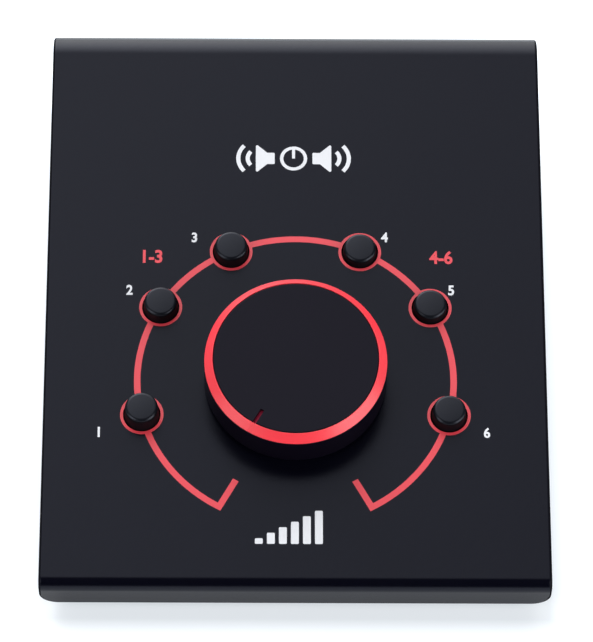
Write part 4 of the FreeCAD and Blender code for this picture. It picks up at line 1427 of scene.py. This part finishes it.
@dataclass
class Studio:
    """Pale floor that glows a little, soft lights, and a surround with a bright bank behind and above.

    The surround is dark over the front, so that edges which face the user stay crisp and black. The bank
    is given by its brightness at angles over the front horizon, from 0 in front to 180 behind.
    """

    floor_radius: float = 6.0
    floor_steps: int = 96
    floor_drop: float = 0.08
    floor_roughness: float = 0.9
    floor_gloss: float = 0.1
    floor_colour: Colour = (0.5, 0.5, 0.5)
    floor_darker: float = 0.985
    floor_patch: float = 400.0
    floor_tone: Colour = (0.92, 1.0, 1.08)
    floor_glow: float = 1.05
    contact_glow: float = 0.47
    contact_reach: float = 12.0
    horizon_glow: float = 0.5
    horizon_height: float = 0.1
    bank: tuple[Pair, ...] = ((0, 0.1), (10, 0.015), (84, 0.02), (93, 0.8), (98, 1.98), (103, 1.92),
                               (108, 1.68), (114, 2.15), (121, 3.5), (132, 4.7), (145, 5.2), (160, 4.0),
                               (180, 2.3))
    bank_lean: float = 0.5
    bank_turn: float = 0.25
    bank_middle: float = 0.3
    bank_side: float = 0.65
    bank_fade: float = 0.04
    backdrop: float = 1.0
    surround_colour: Colour = (0.97, 0.98, 1.0)
    boxes: tuple[Softbox, ...] = (
        Softbox("left_key", (-0.64, -0.52, 0.56), 1.5, 0.8, 0.8, 4.6),
        Softbox("right_key", (0.64, -0.52, 0.56), 1.5, 0.8, 0.8, 4.6),
        Softbox("right_strip", (0.86, -0.5, 0.21), 1.25, 1.25, 0.4, 4.8),
        Softbox("left_strip", (-0.86, -0.465, 0.21), 1.25, 0.8, 0.4, 2.0))

    def floor(self) -> None:
        """Lays the floor, a hair below the feet; its glow dims where the object stands, a painted contact shadow.
        """
        low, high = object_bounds()
        mesh = bmesh.new()
        bmesh.ops.create_circle(mesh, cap_ends=True, radius=self.floor_radius, segments=self.floor_steps)
        floor = baked(mesh, "studio_floor")
        floor.location.z = -self.floor_drop * MM
        sheet = ShaderSheet("studio_floor")
        sheet.fix(Roughness=self.floor_roughness, Specular_IOR_Level=self.floor_gloss,
                  Emission_Color=(*self.floor_tone, 1))
        half = ((high.x - low.x) / 2, (high.y - low.y) / 2, 0)
        away = sheet.vectors("ABSOLUTE", sheet.place).outputs[0]
        away = sheet.vectors("SUBTRACT", away, half).outputs[0]
        away = sheet.vectors("MAXIMUM", away).outputs[0]
        away = sheet.vectors("LENGTH", away).outputs["Value"]
        # Painted contact shadow: the glow is lowest at the object's footprint and rises to full over the reach.
        sheet.feed("Emission Strength", sheet.between(away, self.contact_glow, self.floor_glow,
                                                      0, self.contact_reach * MM))
        cloud = sheet.between(sheet.grain(self.floor_patch), 0, 1)
        darker = tuple(c * self.floor_darker for c in self.floor_colour)
        sheet.feed("Base Color", sheet.blend(cloud, darker, self.floor_colour))
        floor.data.materials.append(sheet.material)
        floor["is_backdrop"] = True

    def surround(self) -> None:
        """Sets the light that comes from all round.

        The bank fades to both sides and leans to the left. The camera sees an even pale backdrop.
        """
        world = bpy.data.worlds.new("studio_surround")
        bpy.context.scene.world = world
        world.use_nodes = True
        sheet = NodeSheet(world.node_tree)
        place = sheet.add("ShaderNodeTexCoord").outputs["Generated"]
        x, y, z = sheet.add("ShaderNodeSeparateXYZ", {0: place}).outputs
        angle = sheet.maths("ARCTAN2", z, sheet.maths("MULTIPLY", y, -1.0))
        ramp = sheet.add("ShaderNodeValToRGB", {"Fac": sheet.maths("DIVIDE", angle, math.pi)})
        stops = ramp.color_ramp.elements
        while len(stops) < len(self.bank):
            stops.new(1.0)
        for stop, (degrees, level) in zip(stops, self.bank):
            stop.position = degrees / 180
            stop.color = (level, level, level, 1)
        lean = sheet.between(x, 1 + self.bank_lean, 1 - self.bank_lean, -self.bank_turn, self.bank_turn)
        fade = sheet.between(sheet.maths("ABSOLUTE", x), 1, self.bank_fade, self.bank_middle,
                             self.bank_side)
        bank = sheet.maths("MULTIPLY", ramp.outputs["Color"], sheet.maths("MULTIPLY", lean, fade))
        glow = sheet.between(z, self.horizon_glow, 0, 0, self.horizon_height)
        seen = sheet.add("ShaderNodeLightPath").outputs["Is Camera Ray"]
        strength = sheet.add("ShaderNodeMix", {0: seen, 2: sheet.maths("MAXIMUM", bank, glow),
                                               3: self.backdrop})
        shade = sheet.tree.nodes["Background"].inputs
        sheet.tree.links.new(strength.outputs[0], shade["Strength"])
        shade["Color"].default_value = (*self.surround_colour, 1)

    def build(self) -> None:
        """Builds the whole studio."""
        self.floor()
        self.surround()
        for box in self.boxes:
            box.build()
        bpy.context.scene.view_settings.view_transform = "Standard"


# ---------------------------------------------------------------- making the scene


def main() -> None:
    """Builds the studio and every piece, in order."""
    logging.basicConfig(level=logging.INFO, format="%(name)s: %(message)s")
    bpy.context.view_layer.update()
    Viewpoint().build()
    Studio().build()
    shop = PaintShop()
    shop.dress_nodes()
    steps: dict[str, Callable[[PaintShop], None]] = {
        "top cover": TopCover().build,
        "volume knob": VolumeKnob().build,
        **{f"{name} button": PushButton(name).build for name in BUTTON_ANGLES},
        "panel print": PanelPrint().build,
        "jack threads": JackThread().build,
    }
    for label, build in steps.items():
        build(shop)
        LOG.info("%s built", label)


if __name__ == "__main__":
    main()
